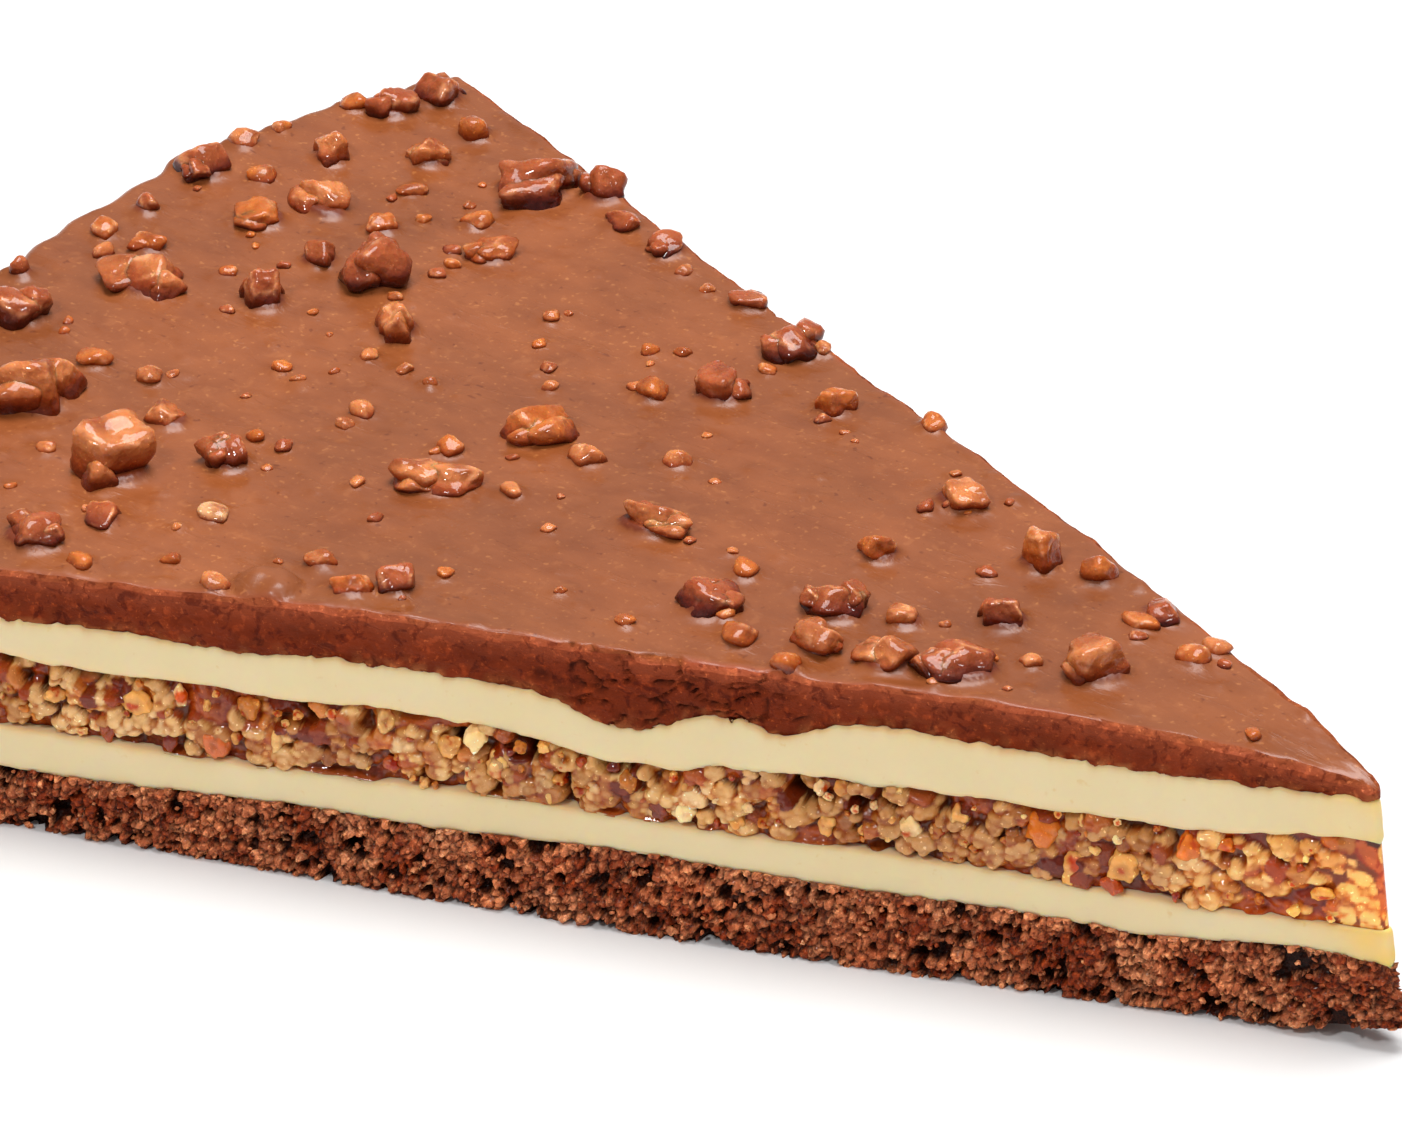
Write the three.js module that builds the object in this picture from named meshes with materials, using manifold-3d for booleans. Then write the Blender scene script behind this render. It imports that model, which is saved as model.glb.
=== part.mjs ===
// A slice of toffee tart: a cocoa sponge base, two layers of butter cream with a layer of chopped
// nuts and caramel between them, and a coat of milk chocolate with toffee pieces set in it.
// Millimetres, +Z up. The slice lies along X with its tip at +X, centred over the origin.
import * as THREE from "three";
import Module from "manifold-3d";

// Driving dimensions.
const LENGTH = 104; // from the tip of the slice to the middle of the rim
const CUT_ANGLE = THREE.MathUtils.degToRad(41.4); // between the two cuts
const TIP_ROUND = 0.6; // radius of the slice's tip
const COAT = 1.7; // thickness of the chocolate down the rim
const GAP = 0.3; // clearance between one layer and the next
const SPONGE_TOP = 4.4; // mean height of the top of each layer
const LOWER_CREAM_TOP = 6.9;
const NUT_TOP = 11.9;
const UPPER_CREAM_TOP = 14.9;
const CHOCOLATE_TOP = 18.1;
const COAT_FOOT = 1.6; // mean height at which the coat on the rim ends
const COAT_LAP = 1.5; // how far the coat reaches into the slab that it hangs from
const COAT_LAP_RISE = 0.4; // its height over the slab's underside there
const COAT_STEP = 0.1; // how far it stays under the slab's top
const EDGE_ROUND = 0.5; // how far the chocolate's top edge is drawn in along the cuts
const RIM_ROUND = 1.6; // and round the rim
const TIP_DROOP = 1.1; // how far the chocolate sinks towards the tip
const TIP_LEAN = 1.4; // how far the tip's top stands back from its foot
const CUT_STEPS = 50; // divisions along each cut
const RIM_STEPS = 26; // divisions along the rim
const TIP_STEPS = 3;
const TOP_RINGS = [0.94, 0.75, 0.45]; // loops of the chocolate's top, as shares of its outline
const MIDDLE_X = -18; // a point that those loops close in on

// Toffee pieces on the chocolate that are 2.4 mm or more across. Each row is the distance from the
// centre of the tart, the angle from the slice's middle line in degrees, the width, the height
// above the chocolate and the length over the width.
const TOFFEE_PIECES = [
  [103, 19, 3.0, 1.4, 1.1],
  [103, 17, 2.9, 1.4, 1.0],
  [104, 9, 3.6, 1.5, 1.0],
  [100, 13, 2.4, 1.4, 0.9],
  [96.5, 16, 2.7, 1.3, 1.0],
  [96.5, 8, 2.9, 0.9, 1.2],
  [95.5, 10.5, 3.2, 1.3, 1.5],
  [89.5, 18, 4.6, 1.9, 1.2],
  [86, 20, 3.0, 1.6, 1.0],
  [82, 19.3, 2.4, 0.8, 1.1],
  [77.5, 19.6, 2.7, 1.1, 1.0],
  [90.5, 11, 2.4, 1.0, 1.0],
  [90, 7.3, 2.5, 1.2, 1.0],
  [86, 8, 4.5, 2.4, 1.0],
  [83.5, 13, 2.7, 1.1, 1.1],
  [96, 1.6, 4.6, 2.1, 1.1],
  [99, 3.6, 2.4, 0.9, 1.0],
  [88.5, 3.3, 2.8, 1.8, 1.0],
  [80, 5.3, 2.9, 1.9, 1.0],
  [99.5, -3, 3.4, 1.7, 1.1],
  [92.5, -8, 4.8, 2.4, 1.0],
  [83.5, -11.5, 4.2, 2.6, 1.1],
  [78, -8.7, 2.8, 1.6, 1.0],
  [84, -6.8, 2.4, 1.0, 1.2],
  [64.5, 2.2, 3.2, 1.6, 1.5],
  [65.5, -5.7, 3.6, 1.3, 1.4],
  [60, 12.3, 3.1, 1.3, 1.1],
  [62, 18.8, 3.4, 1.6, 1.1],
  [54, 16.3, 2.4, 1.2, 1.0],
  [68.5, 19.8, 2.4, 0.9, 1.2],
  [39.5, 14.5, 2.6, 1.1, 1.5],
  [38.5, 3, 2.5, 1.2, 1.0],
  [51.5, -4, 3.2, 1.3, 1.4],
  [31, 12.5, 2.5, 1.8, 1.0],
  [27.5, 16, 2.2, 1.3, 1.0],
  [43.5, -12, 3.1, 1.5, 1.2],
  [37, -7.3, 3.6, 1.6, 1.1],
  [36, -14, 2.8, 1.2, 1.1],
  [31.5, -15, 3.0, 1.3, 1.1],
  [28, 0.5, 2.8, 1.5, 1.1],
  [27, -13, 4.2, 1.8, 1.2],
  [20, -4.5, 3.4, 1.8, 1.2],
  [22, 16.5, 2.4, 0.8, 1.2],
  [84.5, -18, 3.6, 1.5, 1.1],
  [81.5, -15.5, 2.4, 1.0, 1.0],
  [69, -19, 3.2, 1.0, 1.2],
  [64, -18.5, 2.5, 0.9, 1.1],
  [61.5, -17.5, 2.5, 1.2, 1.0],
];
const PIECE_DEPTH = 0.9; // how far a piece reaches under the chocolate's surface
const HIDDEN_PIECES = 9; // pieces in the corner between the rim and the cut at -Y
const HIDDEN_SEED = 4;
const PIECE_SEED = 11;

const half = CUT_ANGLE / 2;
const tipTrim = TIP_ROUND / Math.sin(half) - TIP_ROUND; // what the rounding takes off a sharp tip
const centreX = LENGTH / 2 + tipTrim; // the centre of the whole tart, where the cuts meet
const rimRadius = LENGTH + tipTrim;

// Repeatable random numbers from 0 to 1.
function randomNumbers(seed) {
  let state = seed;
  return () => {
    state = (state + 0x6d2b79f5) | 0;
    let t = Math.imul(state ^ (state >>> 15), 1 | state);
    t = (t + Math.imul(t ^ (t >>> 7), 61 | t)) ^ t;
    return ((t ^ (t >>> 14)) >>> 0) / 2 ** 32;
  };
}

// Distance from the tart's centre, and the angle from the slice's middle line.
function polar(x, y) {
  return { r: Math.hypot(centreX - x, y), a: Math.atan2(y, centreX - x) };
}

const swell = (value, peak, period) => Math.cos((2 * Math.PI * (value - peak)) / period);

// A smooth bump of height 1 at (r, a), with its half widths across and along the cut.
function bump(at, r, a, along, across) {
  const du = (at.r - r) / along;
  const dv = (at.a - a) * (at.r / across);
  return Math.exp(-du * du - dv * dv);
}

// The faces between the layers, as heights over the plate.
function spongeTop(x, y) {
  const at = polar(x, y);
  return SPONGE_TOP + 0.4 * swell(at.r, 32, 115) + 0.15 * swell(at.r + 40 * at.a, 8, 23);
}

function lowerCreamTop(x, y) {
  const at = polar(x, y);
  return LOWER_CREAM_TOP + 0.35 * swell(at.r, 30, 115) + 0.12 * swell(at.r - 30 * at.a, 5, 31);
}

function nutTop(x, y) {
  const at = polar(x, y);
  return NUT_TOP + 0.35 * swell(at.r, 28, 115) + 0.15 * swell(at.r - 25 * at.a, 14, 27);
}

function upperCreamTop(x, y) {
  const at = polar(x, y);
  const pockets =
    2.2 * bump(at, 46, -half, 4.5, 9) + // the deep pocket of chocolate on the cut at -Y
    1.2 * bump(at, 36.5, -half, 2.4, 6) +
    1.5 * bump(at, 66, half, 5, 8); // and one on the other cut
  return UPPER_CREAM_TOP + 0.8 * swell(at.r, 25, 125) + 0.12 * swell(at.r, 12, 17) - pockets;
}

function chocolateTop(x, y) {
  const at = polar(x, y);
  const droop = TIP_DROOP * Math.exp(-at.r / 5);
  return CHOCOLATE_TOP + 0.45 * swell(at.r, 32, 115) + 0.15 * swell(at.r + 30 * at.a, 10, 41) - droop;
}

// The rim isn't a true circle.
const rimSwell = (a) => 0.8 * swell(a, 0.2, 0.52) * (half - Math.abs(a)) / half;

const raised = (top) => (x, y) => top(x, y) + GAP;

// The slice seen from above, anticlockwise from the tip, with each point's outward direction.
function outline(reach) {
  const points = [];
  const add = (x, y, angle, side) =>
    points.push({ x, y, nx: Math.cos(angle), ny: Math.sin(angle), side });
  const tipX = centreX - TIP_ROUND / Math.sin(half);
  const start = TIP_ROUND / Math.tan(half); // where a cut leaves the rounded tip
  for (let i = 0; i <= TIP_STEPS; i++) {
    const turn = (i / TIP_STEPS) * (Math.PI / 2 - half);
    add(tipX + TIP_ROUND * Math.cos(turn), TIP_ROUND * Math.sin(turn), turn, "tip");
  }
  for (let i = 1; i < CUT_STEPS; i++) {
    const r = start + ((reach - start) * i) / CUT_STEPS;
    add(centreX - r * Math.cos(half), r * Math.sin(half), Math.PI / 2 - half, "cut");
  }
  for (let i = 0; i <= RIM_STEPS; i++) {
    const a = half - (CUT_ANGLE * i) / RIM_STEPS;
    const r = reach + rimSwell(a);
    add(centreX - r * Math.cos(a), r * Math.sin(a), Math.PI - a, "rim");
  }
  for (let i = points.length - RIM_STEPS - 2; i > 0; i--) {
    const p = points[i];
    add(p.x, -p.y, Math.atan2(-p.ny, p.nx), p.side);
  }
  return points;
}

const inside = outline(rimRadius - COAT);

// One closed layer between two faces. shift(point, share) moves its side outwards, and rings are
// the sizes of the loops that carry the top's shape inwards from its edge.
function layerGeometry(points, floorAt, topAt, rows, shift, rings = []) {
  const count = points.length;
  const positions = [];
  for (let row = 0; row <= rows; row++) {
    for (const p of points) {
      const low = floorAt(p.x, p.y);
      const z = low + ((topAt(p.x, p.y) - low) * row) / rows;
      const out = shift(p, row / rows);
      const lean = TIP_LEAN * (z / CHOCOLATE_TOP) * Math.exp(-polar(p.x, p.y).r / 2);
      positions.push(p.x + p.nx * out - lean, p.y + p.ny * out, z);
    }
  }
  for (const size of rings) {
    for (const p of points) {
      const x = MIDDLE_X + (p.x - MIDDLE_X) * size;
      const y = p.y * size;
      positions.push(x, y, topAt(x, y));
    }
  }
  const faces = [];
  const last = (rows + rings.length) * count;
  for (let row = 0; row < last; row += count) {
    for (let i = 0; i < count; i++) {
      const a = row + i;
      const b = row + ((i + 1) % count);
      faces.push(a, b, b + count, a, b + count, a + count);
    }
  }
  const contour = points.map((p) => new THREE.Vector2(p.x, p.y));
  for (const [a, b, c] of THREE.ShapeUtils.triangulateShape(contour, [])) {
    faces.push(c, b, a, last + a, last + b, last + c);
  }
  return indexed(positions, faces);
}

function indexed(positions, faces) {
  const geometry = new THREE.BufferGeometry();
  geometry.setAttribute("position", new THREE.Float32BufferAttribute(positions, 3));
  geometry.setIndex(faces);
  return geometry;
}

// Crumb or chopped nuts: the cut face stands in and out by up to size, but meets its neighbours.
function roughSide(seed, size) {
  const random = randomNumbers(seed);
  return (p, share) => {
    const edge = Math.min(1, 4 * Math.min(share, 1 - share) + 0.25);
    const rough = (random() - 0.6) * size * edge;
    return p.side === "cut" ? rough : 0;
  };
}

// Cream keeps a nearly smooth side that swells a little in the middle of its height.
const smoothSide = (p, share) => (p.side === "cut" ? 0.15 * Math.sin(Math.PI * share) : 0);

const CHOCOLATE_ROWS = 4;
function chocolateSide(p, share) {
  const inset = [0, 0, 0, 0.2, 1][Math.round(share * CHOCOLATE_ROWS)];
  return p.side === "rim" ? 0 : -EDGE_ROUND * inset;
}

// The rounded rim and the coat below it: a curved wall with an uneven foot, which reaches into the slab.
function coatGeometry() {
  const positions = [];
  const faces = [];
  const inner = rimRadius - COAT;
  let side = 0;
  for (let i = 0; i <= RIM_STEPS; i++) {
    const a = half - (CUT_ANGLE * i) / RIM_STEPS;
    const out = rimSwell(a);
    const foot = COAT_FOOT + 0.5 * swell(a, 0.1, 0.23) + 0.35 * swell(a, 0, 0.09);
    const x = centreX - (inner + out) * Math.cos(a);
    const y = (inner + out) * Math.sin(a);
    const top = chocolateTop(x, y);
    const under = upperCreamTop(x, y) + GAP + COAT_LAP_RISE;
    const corners = [
      [inner + GAP, foot],
      [rimRadius - 0.5, foot],
      [rimRadius, foot + 1.2],
      [rimRadius, top - RIM_ROUND],
      [rimRadius - 0.3 * RIM_ROUND, top - 0.4 * RIM_ROUND],
      [inner, top - COAT_STEP],
      [inner - COAT_LAP, top - 2 * COAT_STEP],
      [inner - COAT_LAP, under],
      [inner + GAP, under],
    ];
    side = corners.length;
    for (const [r, z] of corners) {
      positions.push(centreX - (r + out) * Math.cos(a), (r + out) * Math.sin(a), z);
    }
  }
  for (let i = 0; i < RIM_STEPS; i++) {
    for (let k = 0; k < side; k++) {
      const a = i * side + k;
      const b = i * side + ((k + 1) % side);
      faces.push(a, b + side, b, a, a + side, b + side);
    }
  }
  const section = [];
  for (let k = 0; k < side; k++) {
    section.push(new THREE.Vector2(centreX - positions[3 * k], positions[3 * k + 2]));
  }
  const end = RIM_STEPS * side;
  for (const [a, b, c] of THREE.ShapeUtils.triangulateShape(section, [])) {
    faces.push(a, b, c, end + c, end + b, end + a);
  }
  return indexed(positions, faces);
}

// One toffee piece: a lump with uneven corners, sunk into the chocolate.
function pieceGeometry([r, degrees, width, height, stretch], random) {
  const a = THREE.MathUtils.degToRad(degrees);
  const x = centreX - r * Math.cos(a);
  const y = r * Math.sin(a);
  const lump = new THREE.IcosahedronGeometry(1, 1);
  const corners = new Map();
  const place = lump.attributes.position;
  const positions = [];
  const faces = [];
  for (let i = 0; i < place.count; i++) {
    const key = [place.getX(i), place.getY(i), place.getZ(i)].map((v) => v.toFixed(4)).join();
    if (!corners.has(key)) {
      corners.set(key, positions.length / 3);
      const uneven = 0.82 + 0.36 * random();
      positions.push(place.getX(i) * uneven, place.getY(i) * uneven, place.getZ(i) * uneven);
    }
    faces.push(corners.get(key));
  }
  const made = indexed(positions, faces);
  const rise = (height + PIECE_DEPTH) / 2;
  made.scale((width * stretch) / 2, width / 2, rise);
  made.rotateZ(random() * Math.PI);
  made.translate(x, y, chocolateTop(x, y) + height - rise);
  return made;
}

// Pieces where the photograph doesn't reach, at the same spacing as the others.
function hiddenPieces() {
  const random = randomNumbers(HIDDEN_SEED);
  const rows = [];
  for (let i = 0; i < HIDDEN_PIECES; i++) {
    const r = 88 + (13 * (i + random())) / HIDDEN_PIECES;
    const degrees = -19 + 8 * ((i * 0.62) % 1);
    const width = 2.4 + 1.8 * random();
    rows.push([r, degrees, width, 0.45 * width, 1 + 0.3 * random()]);
  }
  return rows;
}

const wasm = await Module();
wasm.setup();

function solid(geometry) {
  const vertProperties = new Float32Array(geometry.attributes.position.array);
  const triVerts = new Uint32Array(geometry.index.array);
  return new wasm.Manifold(new wasm.Mesh({ numProp: 3, vertProperties, triVerts }));
}

function geometryOf(manifold) {
  const mesh = manifold.getMesh();
  return indexed(Array.from(mesh.vertProperties), Array.from(mesh.triVerts));
}

// The chocolate slab, its coat down the rim and the toffee pieces, joined into one solid.
function chocolateGeometry() {
  const random = randomNumbers(PIECE_SEED);
  const under = raised(upperCreamTop);
  const slab = layerGeometry(inside, under, chocolateTop, CHOCOLATE_ROWS, chocolateSide, TOP_RINGS);
  let joined = solid(slab);
  joined = joined.add(solid(coatGeometry()));
  for (const row of [...TOFFEE_PIECES, ...hiddenPieces()]) {
    joined = joined.add(solid(pieceGeometry(row, random)));
  }
  return geometryOf(joined);
}

const MATERIALS = {
  sponge: new THREE.MeshStandardMaterial({ color: 0x6b4433, roughness: 0.9, metalness: 0 }),
  cream: new THREE.MeshStandardMaterial({ color: 0xeadfae, roughness: 0.55, metalness: 0 }),
  nut: new THREE.MeshStandardMaterial({ color: 0xc08a4e, roughness: 0.45, metalness: 0 }),
  chocolate: new THREE.MeshStandardMaterial({ color: 0x9b5a3c, roughness: 0.35, metalness: 0 }),
};

const tart = new THREE.Group();

function addLayer(name, geometry, material) {
  const mesh = new THREE.Mesh(geometry, material);
  mesh.name = name;
  tart.add(mesh);
}

const sponge = layerGeometry(inside, () => 0, spongeTop, 4, roughSide(1, 0.9));
const lowerCream = layerGeometry(inside, raised(spongeTop), lowerCreamTop, 2, smoothSide);
const nuts = layerGeometry(inside, raised(lowerCreamTop), nutTop, 4, roughSide(2, 1.1));
const upperCream = layerGeometry(inside, raised(nutTop), upperCreamTop, 2, smoothSide);
addLayer("sponge_base", sponge, MATERIALS.sponge);
addLayer("lower_cream", lowerCream, MATERIALS.cream);
addLayer("nut_layer", nuts, MATERIALS.nut);
addLayer("upper_cream", upperCream, MATERIALS.cream);
addLayer("chocolate_top", chocolateGeometry(), MATERIALS.chocolate);

export default tart;
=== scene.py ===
"""A slice of layered toffee tart: cocoa sponge, butter cream, chopped nuts and caramel, cream again, and
milk chocolate set with chopped toffee. Lengths are in millimetres until a mesh is made. A place on the slice
is given by r, its distance from the tart's centre just off the tip, and a, its angle from the slice's middle
line, which is negative towards the cut that the camera sees."""

import math
from collections import namedtuple

import bmesh
import bpy
import numpy as np
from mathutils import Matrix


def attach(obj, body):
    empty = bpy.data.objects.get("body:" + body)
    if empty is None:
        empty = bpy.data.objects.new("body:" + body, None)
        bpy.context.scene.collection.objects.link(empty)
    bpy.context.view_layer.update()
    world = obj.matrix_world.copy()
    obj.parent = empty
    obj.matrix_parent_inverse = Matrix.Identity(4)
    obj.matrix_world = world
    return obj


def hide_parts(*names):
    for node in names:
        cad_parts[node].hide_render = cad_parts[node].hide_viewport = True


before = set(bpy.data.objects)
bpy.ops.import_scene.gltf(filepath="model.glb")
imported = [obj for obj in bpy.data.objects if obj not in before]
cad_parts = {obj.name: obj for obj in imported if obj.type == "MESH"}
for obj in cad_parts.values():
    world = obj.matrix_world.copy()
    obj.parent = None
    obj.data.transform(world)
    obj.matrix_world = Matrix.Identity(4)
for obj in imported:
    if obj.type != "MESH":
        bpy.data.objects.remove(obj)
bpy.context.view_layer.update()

# ---- sizes, in millimetres
MM = 0.001
LENGTH = 104.0      # from tip to rim
CUT_ANGLE = 41.4    # between the two cuts, in degrees
TIP_ROUND = 0.6     # radius of the tip, from above
COAT = 1.7          # the chocolate's thickness down the rim
# Mean height of each layer's top.
SPONGE_TOP = 4.4
LOWER_CREAM_TOP = 6.9
NUT_TOP = 11.9
UPPER_CREAM_TOP = 14.9
CHOCOLATE_TOP = 18.1

RIM_ROUND = 1.2     # radius of the coat's top edge
COAT_FOOT = 1.6     # height at which the coat ends
TIP_LEAN = 2.5      # how far the tip's top stands back
TIP_FOOT = 2.2      # how far its foot is drawn out
TIP_LIFT = 1.6      # and lifted
EDGE_ROUND = 0.35   # radius of the chocolate's edge along a cut
LAP = 0.06          # how far a layer reaches into the one above it

HALF = math.radians(CUT_ANGLE) / 2
TIP_REACH = TIP_ROUND / math.sin(HALF)
CENTRE_X = LENGTH / 2 + TIP_REACH - TIP_ROUND
RIM_RADIUS = LENGTH + TIP_REACH - TIP_ROUND
INNER_RADIUS = RIM_RADIUS - COAT + LAP

# ---- the meshes' fineness: steps along the outline, and numbers of rows
CRUMB_STEP = 0.105
NUT_STEP = 0.11
CREAM_STEP = 0.3
TOP_ROWS = 350
TIP_COLUMNS = 8
COAT_ROWS = 28
ROUND_STEPS = 6
SLAB_ROWS = 22

# ---- the toffee
# A piece of toffee: its place, width, height over the chocolate, tone, length over width, and turn. Angles
# are in degrees. A coated piece is a dome in the chocolate.
Toffee = namedtuple("Toffee", "r degrees width height tone stretch turn", defaults=(1.0, 0))
TOFFEE_PIECES = [Toffee(*row) for row in (
    (103, 19, 3.0, 1.4, "red", 1.1, 20), (103, 17, 2.9, 1.4, "red", 1.0, 80),
    (104, 9, 3.6, 1.5, "red", 1.0, 10), (100, 13, 2.4, 1.4, "tan", 0.9, 60), (96.5, 16, 2.7, 1.3, "tan"),
    (96.5, 8, 2.9, 0.9, "gold", 1.2, 30), (95.5, 10.5, 3.2, 1.3, "tan", 1.5, -20),
    (89.5, 18, 4.6, 1.9, "red", 1.2, 35), (86, 20, 3.0, 1.6, "red"), (82, 19.3, 2.4, 0.8, "red", 1.1),
    (77.5, 19.6, 2.7, 1.1, "red"), (90.5, 11, 2.4, 1.0, "gold"), (90, 7.3, 2.5, 1.2, "red"),
    (86, 8, 4.5, 2.4, "red", 1.0, 40), (83.5, 13, 2.7, 1.1, "gold", 1.1, 20),
    (96, 1.6, 4.6, 2.1, "tan", 1.1, -30), (99, 3.6, 2.4, 0.9, "gold"), (88.5, 3.3, 2.8, 1.8, "red"),
    (80, 5.3, 2.9, 1.9, "tan"), (99.5, -3, 3.4, 1.7, "red", 1.1), (92.5, -8, 4.8, 2.4, "tan"),
    (83.5, -11.5, 4.2, 2.6, "tan", 1.1, 70), (78, -8.7, 2.8, 1.6, "red"), (84, -6.8, 2.4, 1.0, "tan", 1.2),
    (64.5, 2.2, 3.2, 1.6, "gold", 1.5, 62), (65.5, -5.7, 3.6, 1.3, "tan", 1.4, 20),
    (60, 12.3, 3.1, 1.3, "red", 1.1), (62, 18.8, 3.4, 1.6, "red", 1.1, -10), (54, 16.3, 2.4, 1.2, "gold"),
    (68.5, 19.8, 2.4, 0.9, "red", 1.2), (39.5, 14.5, 2.6, 1.1, "tan", 1.5), (38.5, 3, 2.5, 1.2, "gold"),
    (51.5, -4, 3.2, 1.3, "tan", 1.4, 10), (31, 12.5, 2.5, 1.8, "gold"), (27.5, 16, 2.2, 1.3, "gold"),
    (43.5, -12, 3.1, 1.5, "red", 1.2, 50), (37, -7.3, 3.6, 1.6, "red", 1.1),
    (36, -14, 2.8, 1.2, "tan", 1.1), (31.5, -15, 3.0, 1.3, "tan", 1.1, 20), (28, 0.5, 2.8, 1.5, "red", 1.1),
    (27, -13, 4.2, 1.8, "red", 1.2, 30), (20, -4.5, 3.4, 1.8, "tan", 1.2, 40),
    (22, 16.5, 2.4, 0.8, "red", 1.2), (84.5, -18, 3.6, 1.5, "red", 1.1), (81.5, -15.5, 2.4, 1.0, "red"),
    (69, -19, 3.2, 1.0, "coated", 1.2), (64, -18.5, 2.5, 0.9, "gold", 1.1), (61.5, -17.5, 2.5, 1.2, "red"),
    (36.6, -18.9, 1.8, 1.1, "gold"), (102.5, 5.5, 1.7, 0.9, "red"), (59.8, 1, 2.1, 0.9, "tan", 1.2),
    (97.7, 18.6, 2.1, 1.2, "gold"), (62.9, 9.5, 2.1, 0.9, "gold"), (87.5, 14.3, 2.2, 0.7, "gold"),
    (32.8, -5.7, 2.1, 1.0, "tan", 1.1), (40.5, -16, 2.2, 0.8, "gold"), (104.3, -0.7, 1.4, 1.0, "red"),
    (21.8, 12.2, 2.1, 0.7, "gold", 1.2), (76, -12.9, 2.2, 0.5, "pale", 1.3),
    (80.6, -19.2, 1.8, 0.7, "gold"), (91.9, -4.5, 2.2, 0.7, "gold"), (100.7, 10.2, 2.1, 0.6, "gold"),
    (93.4, 13.8, 2.1, 0.6, "gold"),
)]
# Small pieces, low in the chocolate: r, angle in degrees and width.
LITTLE_PLACES = [
    (105.7, 16, 2.1), (107, 11.2, 2.2), (106, 12.9, 1.4), (100.5, 2.2, 1.7), (102.4, 3.4, 2.1),
    (87.9, -4.3, 2.1), (82.1, -0.6, 1.4), (74.6, -1.7, 1.9), (67.4, -2.3, 2.1), (60.8, -4.7, 1.7),
    (67, 12.5, 1.3), (68, 6.2, 1.3), (73.7, 2.4, 1.3), (60.6, 20.0, 1.4), (48.2, 19.9, 2.1), (55.1, 4, 2.1),
    (43.5, -6.4, 2.1), (23.9, -7.3, 1.6), (16.8, 10.8, 2.4), (16.8, 16.6, 2.1), (75.6, -17.8, 1.4),
    (72, -19.6, 2.3), (67, -16.2, 2.1), (88.4, -11.4, 1.6), (52.2, -14.6, 1.0), (69.8, -7.8, 1.2),
    (95.7, -3.3, 1.0),
]
LITTLE_REACH = 104.8
LITTLE_TONES = ("gold", "tan")
LITTLE_PIECES = [
    Toffee(min(r, LITTLE_REACH), degrees, 0.85 * width, 0.3 * width + 0.1, LITTLE_TONES[k % 2], 1.1, 40 * k)
    for k, (r, degrees, width) in enumerate(LITTLE_PLACES)
]


def toffee_crumbs(count):
    """Crumbs of toffee anywhere on the chocolate."""
    draw = np.random.default_rng(77)
    made = []
    for k, width in enumerate(draw.uniform(0.5, 1.25, count)):
        r = 110 * draw.random() ** 0.5 * 0.93 + 2
        degrees = draw.uniform(-19, 19)
        made.append(Toffee(r, degrees, width, 0.4 * width, ("gold", "tan", "red")[k % 3], 1.2, 50 * k))
    return made


ALL_TOFFEE = TOFFEE_PIECES + LITTLE_PIECES + toffee_crumbs(90)


# ---- colours
def colour(red, green, blue):
    """A colour given as 0 to 255 as it looks on a screen, as linear light."""
    shown = np.array([red, green, blue]) / 255
    return np.where(shown <= 0.04045, shown / 12.92, ((shown + 0.055) / 1.055) ** 2.4)


CHOCOLATE = colour(146, 79, 39)
CHOCOLATE_CUT = colour(120, 43, 14)
# Painted shade on the chocolate where it climbs at the foot of a toffee piece.
CHOCOLATE_FOOT_SHADE = colour(104, 36, 12)
# Painted highlight of the rounded lip along the top of a cut, where it catches the light.
CUT_LIP_HIGHLIGHT = colour(160, 76, 46)
CUT_STAIN = colour(196, 122, 72)
CREAM = colour(234, 217, 176)
CREAM_EDGE = colour(214, 142, 62)
# Painted glow of light through the cream at the slice's thin tip.
CREAM_TIP_GLOW = colour(250, 204, 92)
# Painted shade in the crumb's gaps and holes.
CRUMB_SHADE = colour(40, 11, 3)
CRUMB = colour(136, 52, 18)
CRUMB_LIGHT = colour(226, 144, 98)
BINDER = colour(188, 90, 20)
# The binder in painted shade, for the nut layer's hollows.
BINDER_SHADE = colour(104, 44, 7)
# Painted shade on the toffee's sides and at its foot.
TOFFEE_SIDE_SHADE = colour(152, 62, 18)
TOFFEE_FOOT_SHADE = colour(94, 26, 6)
RED_SIDE_SHADE = colour(98, 22, 5)
RED_FOOT_SHADE = colour(58, 6, 1)
# Light broken edges of toffee: partly toffee showing where the chocolate is thin, partly a painted
# highlight.
TOFFEE_THIN_EDGE_AND_HIGHLIGHT = colour(230, 160, 112)
TOFFEE_COAT = colour(154, 78, 38)
TONES = {
    "tan": colour(204, 124, 72),
    "gold": colour(192, 104, 42),
    "red": colour(170, 86, 46),
    "pale": colour(226, 174, 124),
    "coated": colour(132, 62, 34),
}
NUT_TONES = [
    colour(226, 174, 108), colour(208, 146, 76), colour(238, 196, 142),
    colour(188, 114, 44), colour(218, 158, 88),
]
# Painted highlight on the peaks of the nut lumps.
NUT_PEAK_HIGHLIGHT = colour(246, 204, 146)
# What the nuts' tone is multiplied by between lumps, for the caramel's amber and a painted shade there, in
# shaded stretches, and how it grows at the tip, a painted glow of light through the thin tip.
NUT_CREVICE_CARAMEL_AND_SHADE = np.array([0.74, 0.36, 0.08])
NUT_SHADE = np.array([0.6, 0.42, 0.26])
NUT_TIP_GLOW = np.array([0.7, 0.35, -0.35])
CARAMEL_TONES = [colour(164, 66, 14), colour(184, 92, 40), colour(124, 40, 6), colour(206, 112, 28)]


def mix(one, other, share):
    """Colours blended, wholly the other where share is 1."""
    return one + (other - one) * np.clip(share, 0, 1)[..., None]


def smoothstep(low, high, value):
    """0 at low, 1 at high, and smooth between them."""
    share = np.clip((value - low) / (high - low), 0, 1)
    return share * share * (3 - 2 * share)


def hump(value, width, middle=0.0):
    """A smooth hump, 1 at its middle and almost gone two widths away."""
    return np.exp(-(((value - middle) / width) ** 2))


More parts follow.
